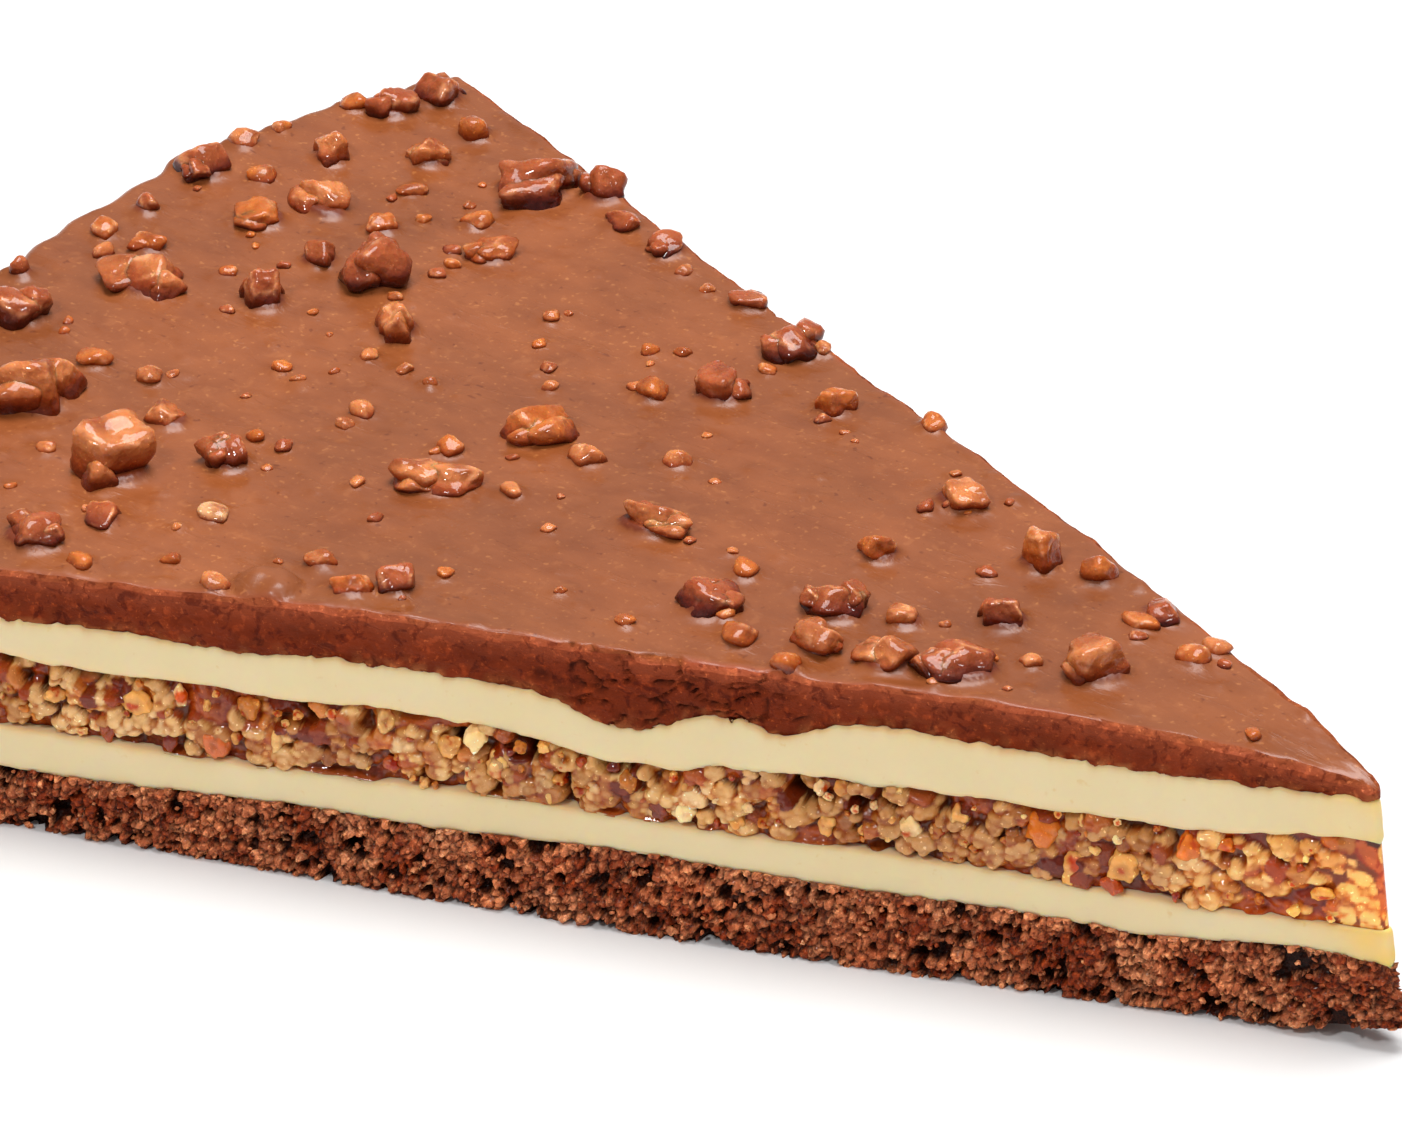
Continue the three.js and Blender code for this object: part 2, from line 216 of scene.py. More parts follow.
# ---- noise
TILE = 32
DRAW = np.random.default_rng(20)
LATTICE = DRAW.random((TILE, TILE, TILE))
SCATTER = DRAW.random((TILE, TILE, TILE, 3))
PICK = DRAW.random((TILE, TILE, TILE))
CORNERS = [(i, j, k) for i in (0, 1) for j in (0, 1) for k in (0, 1)]
AROUND = [(i, j, k) for i in (-1, 0, 1) for j in (-1, 0, 1) for k in (-1, 0, 1)]


def noise(points, size, shift=0.0):
    """Smooth noise from -1 to 1, its lumps about as large as size."""
    place = points / size + shift * 5.37
    cell = np.floor(place).astype(int)
    part = place - cell
    part = part * part * (3 - 2 * part)
    total = np.zeros(len(points))
    for corner in CORNERS:
        weight = np.prod(np.where(corner, part, 1 - part), axis=1)
        x, y, z = ((cell + corner) % TILE).T
        total += weight * LATTICE[x, y, z]
    return 2 * total - 1


def rough(points, size, shift=0.0):
    """Noise with two finer octaves."""
    coarse = noise(points, size, shift) + 0.5 * noise(points, size / 2.1, shift + 1)
    return coarse + 0.25 * noise(points, size / 4.3, shift + 2)


def cells(points, size, shift=0.0):
    """Distance to the nearest of scattered points about size apart, how much further the next one is, and a
    random number of the nearest."""
    place = points / size + shift * 3.19
    cell = np.floor(place).astype(int)
    nearest = np.full(len(points), 9.0)
    second = np.full(len(points), 9.0)
    pick = np.zeros(len(points))
    for step in AROUND:
        there = cell + step
        x, y, z = (there % TILE).T
        away = np.linalg.norm(there + SCATTER[x, y, z] - place, axis=1)
        closer = away < nearest
        second = np.where(closer, nearest, np.minimum(second, away))
        pick = np.where(closer, PICK[x, y, z], pick)
        nearest = np.where(closer, away, nearest)
    return nearest * size, (second - nearest) * size, pick


# ---- the slice's form
def polar(x, y):
    """r and a of a place given by x and y."""
    return np.hypot(CENTRE_X - x, y), np.arctan2(y, CENTRE_X - x)


def flat_point(r, a):
    """x and y of a place given by r and a."""
    return CENTRE_X - r * np.cos(a), r * np.sin(a)


def swell(value, peak, period):
    """A wave from -1 to 1."""
    return np.cos(2 * math.pi * (value - peak) / period)


def bump(at_r, at_a, r, a, along, across):
    """A smooth hump round one place, so wide along and across the slice."""
    return np.exp(-(((at_r - r) / along) ** 2) - ((at_a - a) * at_r / across) ** 2)


def ragged(r, a, size, shift):
    """Fine unevenness of a border between two layers."""
    x, y = flat_point(r, a)
    points = np.stack([x, y, np.zeros_like(x)], axis=-1).reshape(-1, 3)
    return rough(points, size, shift).reshape(np.shape(x))


def waves(r, a, *terms):
    """Waves along r, each a height, a peak, a period and how far it slants with a."""
    return sum(height * swell(r + slant * a, peak, period) for height, peak, period, slant in terms)


def sponge_top(r, a):
    rise = 1.3 * hump(r, 7, 5) + waves(r, a, (0.4, 32, 115, 0), (0.15, 8, 23, 40))
    return SPONGE_TOP + rise + 0.1 * ragged(r, a, 1.6, 1)


def lower_cream_top(r, a):
    rise = 0.75 * hump(r, 8) + waves(r, a, (0.35, 30, 115, 0), (0.12, 5, 31, -30))
    return LOWER_CREAM_TOP + rise + 0.12 * ragged(r, a, 2.0, 2)


def nut_top(r, a):
    dip = 1.1 * bump(r, a, 46, -HALF, 7, 9) + 0.4 * bump(r, a, 32, -HALF, 6, 6)
    rise = 1.4 * hump(r, 8) + waves(r, a, (0.35, 28, 115, 0), (0.15, 14, 27, -25))
    return NUT_TOP - dip + rise + 0.2 * ragged(r, a, 2.2, 3)


def upper_cream_top(r, a):
    front_pockets = 2.2 * bump(r, a, 46, -HALF, 4.5, 9) + 1.2 * bump(r, a, 36.5, -HALF, 2.4, 6)
    back_pocket = 1.5 * bump(r, a, 66, HALF, 5, 8)
    rise = 0.9 * hump(r, 8) + waves(r, a, (0.8, 25, 125, 0), (0.12, 12, 17, 0))
    return UPPER_CREAM_TOP + rise - front_pockets - back_pocket + 0.2 * ragged(r, a, 0.8, 4)


def chocolate_top(r, a):
    rise = 0.35 * hump(r, 9, RIM_RADIUS) * smoothstep(-0.15, 0.15, a)
    rise = rise + waves(r, a, (0.45, 32, 115, 0), (0.15, 10, 41, 30))
    return CHOCOLATE_TOP + rise - 1.9 * np.exp(-r / 3.6)


def rim_swell(a, waviness=1.0):
    """How far the rim stands out of its circle. The short waves fade out down the coat."""
    short = 0.25 * swell(a, 0.05, 0.11) + 0.2 * swell(a, 0.02, 0.047)
    long = 0.8 * swell(a, 0.2, 0.52)
    return (long + waviness * short) * (HALF - np.abs(a)) / HALF + 1.1 * smoothstep(-0.1, 0.2, a)


def coat_foot(a):
    """Height at which the chocolate coat ends."""
    return COAT_FOOT + 0.5 * swell(a, 0.1, 0.23) + 0.35 * swell(a, 0, 0.09)


def lean(points):
    """Draws the foot of the slice's point out and up, so that the point leans back towards its top."""
    r, _ = polar(points[..., 0], points[..., 1])
    moved = points.copy()
    z = points[..., 2]
    moved[..., 0] += (TIP_FOOT - TIP_LEAN * z / CHOCOLATE_TOP) * hump(r, 7)
    moved[..., 2] += TIP_LIFT * np.clip(1 - z / 5, 0, 1) * hump(r, 5.5)
    return moved


class Outline:
    """The outline from above of the layers inside the coat, counterclockwise from the middle of the rim."""

    def __init__(self, step):
        rim_angle = -np.linspace(0, HALF, round(INNER_RADIUS * HALF / 0.8), endpoint=False)
        rim = np.stack(flat_point(INNER_RADIUS, rim_angle), axis=1)
        rim_normal = np.stack([-np.cos(rim_angle), np.sin(rim_angle)], axis=1)
        tangent = TIP_ROUND / math.tan(HALF)
        cut_r = np.linspace(INNER_RADIUS, tangent, round(INNER_RADIUS / step), endpoint=False)
        cut = np.stack(flat_point(cut_r, -HALF), axis=1)
        cut_normal = np.tile([math.sin(HALF), -math.cos(HALF)], (len(cut), 1))
        turn = np.linspace(HALF - math.pi / 2, 0, max(3, round(TIP_ROUND * 1.2 / step)) + 1)
        tip_normal = np.stack([np.cos(turn), np.sin(turn)], axis=1)
        tip = [CENTRE_X - TIP_REACH, 0] + TIP_ROUND * tip_normal
        half = np.concatenate([rim, cut, tip])
        half_normal = np.concatenate([rim_normal, cut_normal, tip_normal])
        mirror = np.array([1, -1])
        plain = np.concatenate([half, half[-2:0:-1] * mirror])
        self.normals = np.concatenate([half_normal, half_normal[-2:0:-1] * mirror])
        r, self.a = polar(plain[:, 0], plain[:, 1])
        self.r = r + rim_swell(self.a, 0.0) * smoothstep(INNER_RADIUS - 9, INNER_RADIUS, r)
        self.points = np.stack(flat_point(self.r, self.a), axis=1)
        rim_count = len(rim)
        count = len(self.points)
        index = np.arange(count)
        self.on_cut = (index >= rim_count) & (index <= count - rim_count)
        steps = np.linalg.norm(np.diff(self.points, axis=0), axis=1)
        self.along = np.concatenate([[0], np.cumsum(steps)])
        self.start = self.along[rim_count]
        self.end = self.along[count - rim_count]

    def place(self, along, z, out):
        """Points on the wall, at a distance along the outline and a height, moved out by so much."""
        x, y, nx, ny = (np.interp(along, self.along, v) for v in (*self.points.T, *self.normals.T))
        return lean(np.stack([x + nx * out, y + ny * out, z], axis=-1))

    def polar_at(self, along):
        x, y = (np.interp(along, self.along, v) for v in self.points.T)
        return polar(x, y)


# ---- meshes
def new_piece(name, points, faces, colours, skins, nodes=(), skin_of=None):
    """A mesh object from points in millimetres and arrays of three- or four-cornered faces. skins are its
    materials, and skin_of says which of them each array of faces has."""
    mesh = bpy.data.meshes.new(name)
    corners = np.concatenate([f.ravel() for f in faces])
    counts = np.concatenate([np.full(len(f), f.shape[1]) for f in faces])
    mesh.vertices.add(len(points))
    mesh.vertices.foreach_set("co", (points * MM).astype(np.float32).ravel())
    mesh.loops.add(len(corners))
    mesh.loops.foreach_set("vertex_index", corners.astype(np.int32))
    mesh.polygons.add(len(counts))
    starts = np.concatenate([[0], np.cumsum(counts)[:-1]])
    mesh.polygons.foreach_set("loop_start", starts.astype(np.int32))
    mesh.update(calc_edges=True)
    if skin_of is not None:
        picks = np.concatenate([np.full(len(f), which) for f, which in zip(faces, skin_of)])
        mesh.polygons.foreach_set("material_index", picks.astype(np.int32))
    mesh.polygons.foreach_set("use_smooth", np.ones(len(mesh.polygons), bool))
    layer = mesh.color_attributes.new("tone", "FLOAT_COLOR", "POINT")
    shades = np.column_stack([colours, np.ones(len(colours))])
    layer.data.foreach_set("color", shades.astype(np.float32).ravel())
    for skin in skins:
        mesh.materials.append(skin)
    piece = bpy.data.objects.new(name, mesh)
    bpy.context.scene.collection.objects.link(piece)
    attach(piece, "root")
    if nodes:
        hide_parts(*nodes)
    return piece


def grid_faces(columns, rows, first=0, closed=False):
    """Quads over a grid whose points are numbered row by row within each column."""
    last = columns if closed else columns - 1
    i, j = np.meshgrid(np.arange(last), np.arange(rows - 1), indexing="ij")
    i, j = i.ravel(), j.ravel()
    after = (i + 1) % columns
    return first + np.stack([i * rows + j, after * rows + j, after * rows + j + 1, i * rows + j + 1], axis=1)


def ladder_faces(ring, up):
    """Faces across a ring of points that is the same on both sides of its first and its middle point."""
    half = len(ring) // 2
    i = np.arange(half)
    quads = np.stack([ring[i], ring[i + 1], ring[(-i - 1) % len(ring)], ring[-i % len(ring)]], axis=1)
    tris = np.array([quads[0][:3], quads[-1][[0, 1, 3]]])
    quads = quads[1:-1]
    return (quads, tris) if up else (quads[:, ::-1], tris[:, ::-1])


def lapped(top_at):
    """A layer's top, raised a little into the layer above it."""
    return lambda r, a: top_at(r, a) + LAP


def layer_wall(outline, floor_at, top_at, rows, relief, paint):
    """A layer of the slice as points, faces and colours. relief says how far its wall stands out, and paint
    gives its colours. Both get the wall's points and a dictionary of what is known at each."""
    share = np.linspace(0, 1, rows)[None, :]
    low = floor_at(outline.r, outline.a)[:, None]
    high = top_at(outline.r, outline.a)[:, None]
    z = low + (high - low) * share
    flat = np.repeat(outline.points[:, None, :], rows, axis=1)
    wall = np.concatenate([flat, z[:, :, None]], axis=2).reshape(-1, 3)
    r = np.repeat(outline.r, rows)
    on_cut = np.repeat(outline.on_cut, rows)
    state = {"r": r, "along": outline.along, "cut": on_cut, "up": np.tile(share[0], len(outline.r)),
             "low": np.repeat(low[:, 0], rows), "high": np.repeat(high[:, 0], rows), "z": wall[:, 2]}
    out = relief(wall, state)
    out = np.maximum(out, -0.25 * r * math.sin(HALF) - 0.1)
    state["out"] = out
    points = wall.copy()
    points[:, :2] += np.repeat(outline.normals, rows, axis=0) * out[:, None]
    colours = paint(wall, state)
    columns = len(outline.points)
    bottom = ladder_faces(np.arange(columns) * rows, up=False)
    top = ladder_faces(np.arange(columns) * rows + rows - 1, up=True)
    return lean(points), [grid_faces(columns, rows, closed=True), *bottom, *top], colours


def sphere(steps):
    """Corners and triangles of a unit icosphere."""
    ball = bmesh.new()
    bmesh.ops.create_icosphere(ball, subdivisions=steps, radius=1.0)
    ball.verts.ensure_lookup_table()
    corners = np.array([v.co for v in ball.verts])
    triangles = np.array([[v.index for v in f.verts] for f in ball.faces])
    ball.free()
    return corners, triangles


def turned(draw, count):
    """Random rotation matrices."""
    q = draw.normal(size=(count, 4))
    w, x, y, z = (q / np.linalg.norm(q, axis=1, keepdims=True)).T
    return np.stack([
        np.stack([1 - 2 * (y * y + z * z), 2 * (x * y - z * w), 2 * (x * z + y * w)], axis=1),
        np.stack([2 * (x * y + z * w), 1 - 2 * (x * x + z * z), 2 * (y * z - x * w)], axis=1),
        np.stack([2 * (x * z - y * w), 2 * (y * z + x * w), 1 - 2 * (x * x + y * y)], axis=1),
    ], axis=1)


def chips(draw, count, steps, facets, sharpness, uneven, nodules=0.0, least=0.72):
    """Lumps of about unit radius with flat sides and rounded edges, as (count, corners, 3), their triangles,
    and how near each corner is to an edge, from 0 to 1. Sides are least to 1.08 from the middle. Nodules are
    small round swellings all over."""
    corners, triangles = sphere(steps)
    frames = turned(draw, count)
    sides = np.concatenate([frames, -frames], axis=1)
    extra = draw.normal(size=(count, facets, 3))
    extra /= np.linalg.norm(extra, axis=2, keepdims=True)
    sides = np.concatenate([sides, extra], axis=1)
    reach = draw.uniform(least, 1.08, size=sides.shape[:2])
    facing = np.einsum("nfk,vk->nvf", sides, corners) / reach[:, None, :]
    facing = np.clip(facing, 0, None)
    radius = (facing**sharpness).sum(axis=2) ** (-1 / sharpness)
    ordered = np.sort(facing, axis=2)
    edge = smoothstep(0.86, 1.0, ordered[:, :, -2] / ordered[:, :, -1])
    wander = draw.uniform(0, TILE, size=(count, 1, 3))
    place = (corners[None] + wander).reshape(-1, 3)
    radius *= 1 + uneven * rough(place, 0.9).reshape(radius.shape)
    if nodules:
        near, _, _ = cells(place, 0.75)
        radius *= 1 + nodules * (1 - near / 0.4).clip(-0.4, 1).reshape(radius.shape)
    return corners[None] * radius[:, :, None], triangles, edge


def joined(shapes, triangles):
    """All lumps as one list of points and one of triangles."""
    count, corners = shapes.shape[:2]
    first = np.arange(count)[:, None, None] * corners
    return shapes.reshape(-1, 3), (triangles[None] + first).reshape(-1, 3)


def stacked(parts):
    """Parts, each points, triangles and colours, as one."""
    firsts = np.cumsum([0] + [len(points) for points, _, _ in parts])
    faces = [triangles + first for (_, triangles, _), first in zip(parts, firsts)]
    points, _, colours = zip(*parts)
    return np.concatenate(points), np.concatenate(faces), np.concatenate(colours)


# ---- materials
def material(name, roughness, specular, coat=0.0, coat_roughness=0.2, subsurface=0.0, radius=(1, 0.5, 0.3),
             scale=0.5):
    """A plain material. Light goes in by scale, in millimetres, times the radius for red, green and blue."""
    made = bpy.data.materials.new(name)
    made.use_nodes = True
    shader = made.node_tree.nodes["Principled BSDF"]
    settings = {
        "Roughness": roughness, "IOR": 1.45, "Specular IOR Level": specular,
        "Coat Weight": coat, "Coat Roughness": coat_roughness, "Coat IOR": 1.5,
        "Subsurface Weight": subsurface, "Subsurface Radius": radius, "Subsurface Scale": scale * MM,
    }
    for socket, value in settings.items():
        shader.inputs[socket].default_value = value
    return made


def node(tree, kind, inputs=None, **settings):
    """A new node, each of its inputs linked to a socket or set to a value."""
    made = tree.nodes.new(kind)
    for key, value in settings.items():
        setattr(made, key, value)
    for key, value in (inputs or {}).items():
        if isinstance(value, bpy.types.NodeSocket):
            tree.links.new(value, made.inputs[key])
        else:
            made.inputs[key].default_value = value
    return made


def noise_node(tree, size, detail, distortion=0.0, stretch=(1, 1, 1)):
    """Noise with lumps of about size millimetres, in the object's own coordinates."""
    place = node(tree, "ShaderNodeTexCoord").outputs["Object"]
    scaled = node(tree, "ShaderNodeMapping", {"Vector": place, "Scale": stretch}).outputs["Vector"]
    inputs = {"Scale": 0.5 / (size * MM), "Detail": detail, "Roughness": 0.55, "Distortion": distortion}
    return node(tree, "ShaderNodeTexNoise", {"Vector": scaled, **inputs}).outputs["Fac"]


def cell_node(tree, size):
    """Distance to the nearest of scattered points about size millimetres apart, in units of that size."""
    place = node(tree, "ShaderNodeTexCoord").outputs["Object"]
    inputs = {"Vector": place, "Scale": 1 / (size * MM)}
    return node(tree, "ShaderNodeTexVoronoi", inputs).outputs["Distance"]


def ramp(tree, fac, *stops):
    """A grey ramp through (place, value) stops."""
    made = node(tree, "ShaderNodeValToRGB", {"Fac": fac})
    elements = made.color_ramp.elements
    for element, (place, value) in zip(elements, (stops[0], stops[-1])):
        element.position = place
        element.color = (value, value, value, 1)
    for place, value in stops[1:-1]:
        elements.new(place).color = (value, value, value, 1)
    return made.outputs["Color"]


def tinted(tree, base, share, tint):
    """The base colour multiplied by a tint where share is 1."""
    made = node(tree, "ShaderNodeMix", data_type="RGBA", blend_type="MULTIPLY")
    sockets = {socket.identifier: socket for socket in made.inputs}
    tree.links.new(share, sockets["Factor_Float"])
    tree.links.new(base, sockets["A_Color"])
    sockets["B_Color"].default_value = (*tint, 1)
    return next(socket for socket in made.outputs if socket.identifier == "Result_Color")


def patches(tree, tint, low, high, *grain, **more):
    """A tint for where the noise of such a grain is over high, and none where it is under low."""
    return ramp(tree, noise_node(tree, *grain, **more), (low, 0.0), (high, 1.0)), tint


def bumps(tree, *layers):
    """Bumps stacked one on the other, each a height from 0 to 1 and its depth in millimetres."""
    normal = None
    for height, depth in layers:
        made = node(tree, "ShaderNodeBump", {"Height": height, "Distance": depth * MM, "Strength": 1.0})
        if normal is not None:
            tree.links.new(normal, made.inputs["Normal"])
        normal = made.outputs["Normal"]
    return normal


def tone(tree):
    """The mesh's painted colours."""
    return node(tree, "ShaderNodeVertexColor", layer_name="tone").outputs["Color"]


def dressed(made, tints, relief, roughness=None):
    """Gives a material its painted tone times tints, each a share and a colour, its bumps and roughness."""
    tree = made.node_tree
    shader = tree.nodes["Principled BSDF"]
    base = tone(tree)
    for share, tint in tints:
        base = tinted(tree, base, share, tint)
    tree.links.new(base, shader.inputs["Base Color"])
    tree.links.new(bumps(tree, *relief), shader.inputs["Normal"])
    if roughness is not None:
        tree.links.new(roughness, shader.inputs["Roughness"])
    return made


def chocolate_material():
    made = material("milk_chocolate", 0.4, specular=0.4, coat=0.1, coat_roughness=0.15)
    tree = made.node_tree
    tints = [
        patches(tree, (1.1, 1.13, 1.15), 0.35, 0.7, 6, 3),
        patches(tree, (0.8, 0.74, 0.68), 0.35, 0.7, 1.1, 4, stretch=(0.6, 1, 1)),
        patches(tree, (1.15, 1.25, 1.35), 0.6, 0.72, 0.5, 2, 0.6),
        # Tiny pale specks, partly painted glints.
        patches(tree, (1.4, 1.7, 1.9), 0.66, 0.75, 0.2, 1),
        patches(tree, (0.7, 0.6, 0.52), 0.7, 0.78, 0.3, 1, 0.4),
    ]
    relief = [
        (noise_node(tree, 1.6, 4, stretch=(0.5, 1, 1)), 0.17),
        (noise_node(tree, 0.4, 3), 0.035),
        (ramp(tree, noise_node(tree, 0.5, 3, 1.5, (0.2, 1, 1)), (0.6, 0.0), (0.64, 1.0)), 0.012),
    ]
    roughness = ramp(tree, noise_node(tree, 4, 4), (0.3, 0.27), (0.7, 0.44))
    return dressed(made, tints, relief, roughness)


def cut_chocolate_material():
    made = material("cut_chocolate", 0.55, specular=0.1)
    tree = made.node_tree
    tints = [
        patches(tree, (0.84, 0.76, 0.7), 0.38, 0.66, 1.4, 5),
        patches(tree, (1.5, 1.6, 1.6), 0.55, 0.66, 0.3, 4),
        patches(tree, (1.7, 2.1, 2.2), 0.64, 0.7, 0.14, 2),
        patches(tree, (0.58, 0.46, 0.4), 0.54, 0.63, 0.45, 5, 1.0),
    ]
    relief = [
        (noise_node(tree, 0.9, 6, 0.3, (0.5, 0.5, 1)), 0.5),
        (noise_node(tree, 0.25, 4, 0.5), 0.16),
    ]
    return dressed(made, tints, relief)


def cream_material():
    made = material("butter_cream", 0.5, specular=0.25, subsurface=1.0, radius=(1.0, 0.62, 0.25), scale=0.8)
    tree = made.node_tree
    tints = [
        patches(tree, (0.97, 0.955, 0.9), 0.3, 0.75, 4, 3),
        patches(tree, (0.96, 0.9, 0.78), 0.68, 0.78, 0.35, 2),
    ]
    relief = [
        (noise_node(tree, 1.8, 4, stretch=(0.5, 0.5, 1)), 0.07),
        (noise_node(tree, 0.3, 2), 0.015),
    ]
    return dressed(made, tints, relief)


def crumb_material():
    made = material("cocoa_sponge", 0.55, specular=0.12, coat=0.12, coat_roughness=0.1, subsurface=0.25,
                    radius=(1.0, 0.35, 0.15), scale=0.15)
    tree = made.node_tree
    tints = [
        # Whitish specks: partly pale crumbs, partly painted glints.
        patches(tree, (1.8, 2.15, 2.3), 0.52, 0.64, 0.16, 3),
        patches(tree, (0.4, 0.3, 0.24), 0.52, 0.62, 0.22, 3, 0.5),
        patches(tree, (1.1, 0.95, 0.85), 0.4, 0.62, 2.5, 3),
    ]
    relief = [
        (noise_node(tree, 0.2, 4), 0.16),
        (ramp(tree, cell_node(tree, 0.2), (0.0, 1.0), (0.7, 0.0)), 0.06),
    ]
    return dressed(made, tints, relief)


def nut_material(name, gloss, depth):
    made = material(name, 0.4, specular=0.1, coat=gloss, coat_roughness=0.06, subsurface=0.7,
                    radius=(1.0, 0.6, 0.3), scale=depth)
    tree = made.node_tree
    tints = [
        patches(tree, (0.94, 0.82, 0.6), 0.4, 0.7, 0.6, 4),
        patches(tree, (1.15, 1.25, 1.4), 0.62, 0.72, 0.22, 2),
        # Painted glints: tiny whitish specks.
        patches(tree, (1.5, 2.0, 2.8), 0.68, 0.73, 0.12, 1),
    ]
    relief = [
        (noise_node(tree, 0.4, 3), 0.08),
        (ramp(tree, cell_node(tree, 0.26), (0.0, 1.0), (0.7, 0.0)), 0.03),
    ]
    return dressed(made, tints, relief)


def toffee_material():
    made = material("toffee", 0.45, specular=0.08, coat=0.6, coat_roughness=0.05, subsurface=0.6,
                    radius=(1.0, 0.4, 0.12), scale=0.35)
    tree = made.node_tree
    tints = [
        patches(tree, (0.8, 0.68, 0.58), 0.42, 0.62, 1.0, 3),
        patches(tree, (1.2, 1.3, 1.35), 0.58, 0.7, 0.25, 3),
        # Painted glints: tiny whitish specks.
        patches(tree, (1.5, 2.0, 2.6), 0.69, 0.73, 0.14, 1),
    ]
    relief = [
        (noise_node(tree, 0.8, 4), 0.26),
        (cell_node(tree, 0.6), 0.12),
        (noise_node(tree, 0.22, 3), 0.07),
    ]
    return dressed(made, tints, relief)


# ---- sponge
# Holes in the crumb: how far apart, least and greatest radius, depth over radius, and shift of the cells.
CRUMB_HOLES = [(1.9, 0.2, 0.85, 1.5, 1), (1.1, 0.15, 0.55, 1.6, 2), (0.6, 0.08, 0.32, 1.7, 7)]
FINE_GRAIN = 0.27
GRAIN_COUNT = 1300


def crumb_grains(wall):
    """Cells of the crumb's larger grains."""
    return cells(wall + 0.12 * noise(wall, 0.4, 10)[:, None], 0.62, 3)


def crumb_relief(wall, state):
    """An open crumb: grains with gaps between them, and round holes of three sizes."""
    bent = wall + 0.25 * noise(wall, 0.6, 9)[:, None]
    out = 0.12 * noise(wall, 3.0, 4) - 0.12
    for size, least, most, depth, shift in CRUMB_HOLES:
        near, _, pick = cells(bent, size, shift)
        radius = least + (most - least) * pick
        out -= depth * np.sqrt(np.clip(radius**2 - near**2, 0, None))
    near, gap, pick = crumb_grains(wall)
    grains = 0.32 * np.sqrt(np.clip(1 - (near / 0.52) ** 2, 0, 1)) * (0.4 + 0.8 * pick)
    out += grains - 0.25 * hump(gap, 0.07)
    near, _, _ = cells(wall, FINE_GRAIN, 5)
    out += 0.1 * np.clip(1 - near / 0.2, 0, 1)
    foot = 0.3 * np.clip(1 - state["z"] / 0.5, 0, 1) ** 2
    return out - foot + np.where(state["cut"], sponge_flare(state["r"], state["z"]), 0)


def sponge_flare(r, z):
    """How far the sponge stands out at its foot, most at the middle of a cut."""
    return 1.3 * hump(r, 32, 45) * (1 - z / 5)


def crumb_paint(wall, state):
    """Light and dark grains, painted shade in the gaps between grains and in the holes, and a lighter band
    stained by the cream above.
    """
    _, gap, pick = crumb_grains(wall)
    _, _, fine_pick = cells(wall, FINE_GRAIN, 5)
    stained = 0.4 * np.exp(-np.clip(state["high"] - state["z"], 0, 9) / 0.7) * (1 + noise(wall, 2.0, 18))
    light = 0.75 * pick**2 + 0.3 * fine_pick**2 + 0.4 * noise(wall, 2.8, 8) - 0.1 + stained
    tint = mix(np.tile(CRUMB, (len(wall), 1)), CRUMB_LIGHT, light)
    # Painted shade in the gaps between grains.
    tint = mix(tint, CRUMB_SHADE, 0.75 * hump(gap, 0.06))
    # Painted shade deepening into the holes.
    depth = -state["out"] + np.where(state["cut"], sponge_flare(state["r"], state["z"]), 0)
    return mix(tint, CRUMB_SHADE, smoothstep(0.1, 0.5, depth))


def build_sponge(outline, crumb):
    rows = round(SPONGE_TOP / CRUMB_STEP)
    points, faces, colours = layer_wall(
        outline, lambda r, a: np.zeros_like(r), lapped(sponge_top), rows, crumb_relief, crumb_paint)
    new_piece("sponge_crumb", points, faces, colours, [crumb], ["sponge_base"])
    build_sponge_crumbs(outline, crumb)


def build_sponge_crumbs(outline, crumb):
    """Loose grains on the sponge's sides."""
    draw = np.random.default_rng(31)
    shapes, triangles, _ = chips(draw, GRAIN_COUNT, 2, 3, 5, 0.6)
    size = draw.uniform(0.1, 0.22, GRAIN_COUNT) * np.where(draw.random(GRAIN_COUNT) < 0.08, 1.8, 1)
    shapes = shapes * size[:, None, None] * draw.uniform(0.7, 1.2, (GRAIN_COUNT, 1, 3))
    along = draw.uniform(outline.start + 0.5, outline.end - 0.5, GRAIN_COUNT)
    r, a = outline.polar_at(along)
    z = size + (sponge_top(r, a) - 1.2 * size) * draw.random(GRAIN_COUNT)
    out = draw.uniform(-0.5, 0.02, GRAIN_COUNT) - 0.6 * size + sponge_flare(r, z)
    placed = np.stack([along, z, out], axis=1)[:, None, :] + shapes
    points = outline.place(placed[..., 0], placed[..., 1], placed[..., 2])
    points[..., 2] = np.maximum(points[..., 2], 0.02)
    tints = mix(np.tile(CRUMB, (GRAIN_COUNT, 1)), CRUMB_LIGHT, draw.random(GRAIN_COUNT) * 1.4)
    flat, faces = joined(points, triangles)
    new_piece("sponge_crumbs", flat, [faces], np.repeat(tints, shapes.shape[1], axis=0), [crumb])


# ---- creams
def cream_relief(wall, state):
    """Cream dragged smooth by the knife, with a few nicks at its borders."""
    dragged = wall * np.array([0.35, 0.35, 1])
    out = 0.06 * noise(wall, 6, 1) + 0.035 * noise(dragged, 0.5, 2) + 0.03 * noise(wall, 1.1, 3)
    edge = np.minimum(state["z"] - state["low"], state["high"] - state["z"])
    nicks = np.clip(noise(wall, 0.7, 8) - 0.2, 0, 1) * np.exp(-edge / 0.25)
    return np.where(state["cut"], out - 0.12 * np.exp(-edge / 0.18) - 0.2 * nicks, 0)


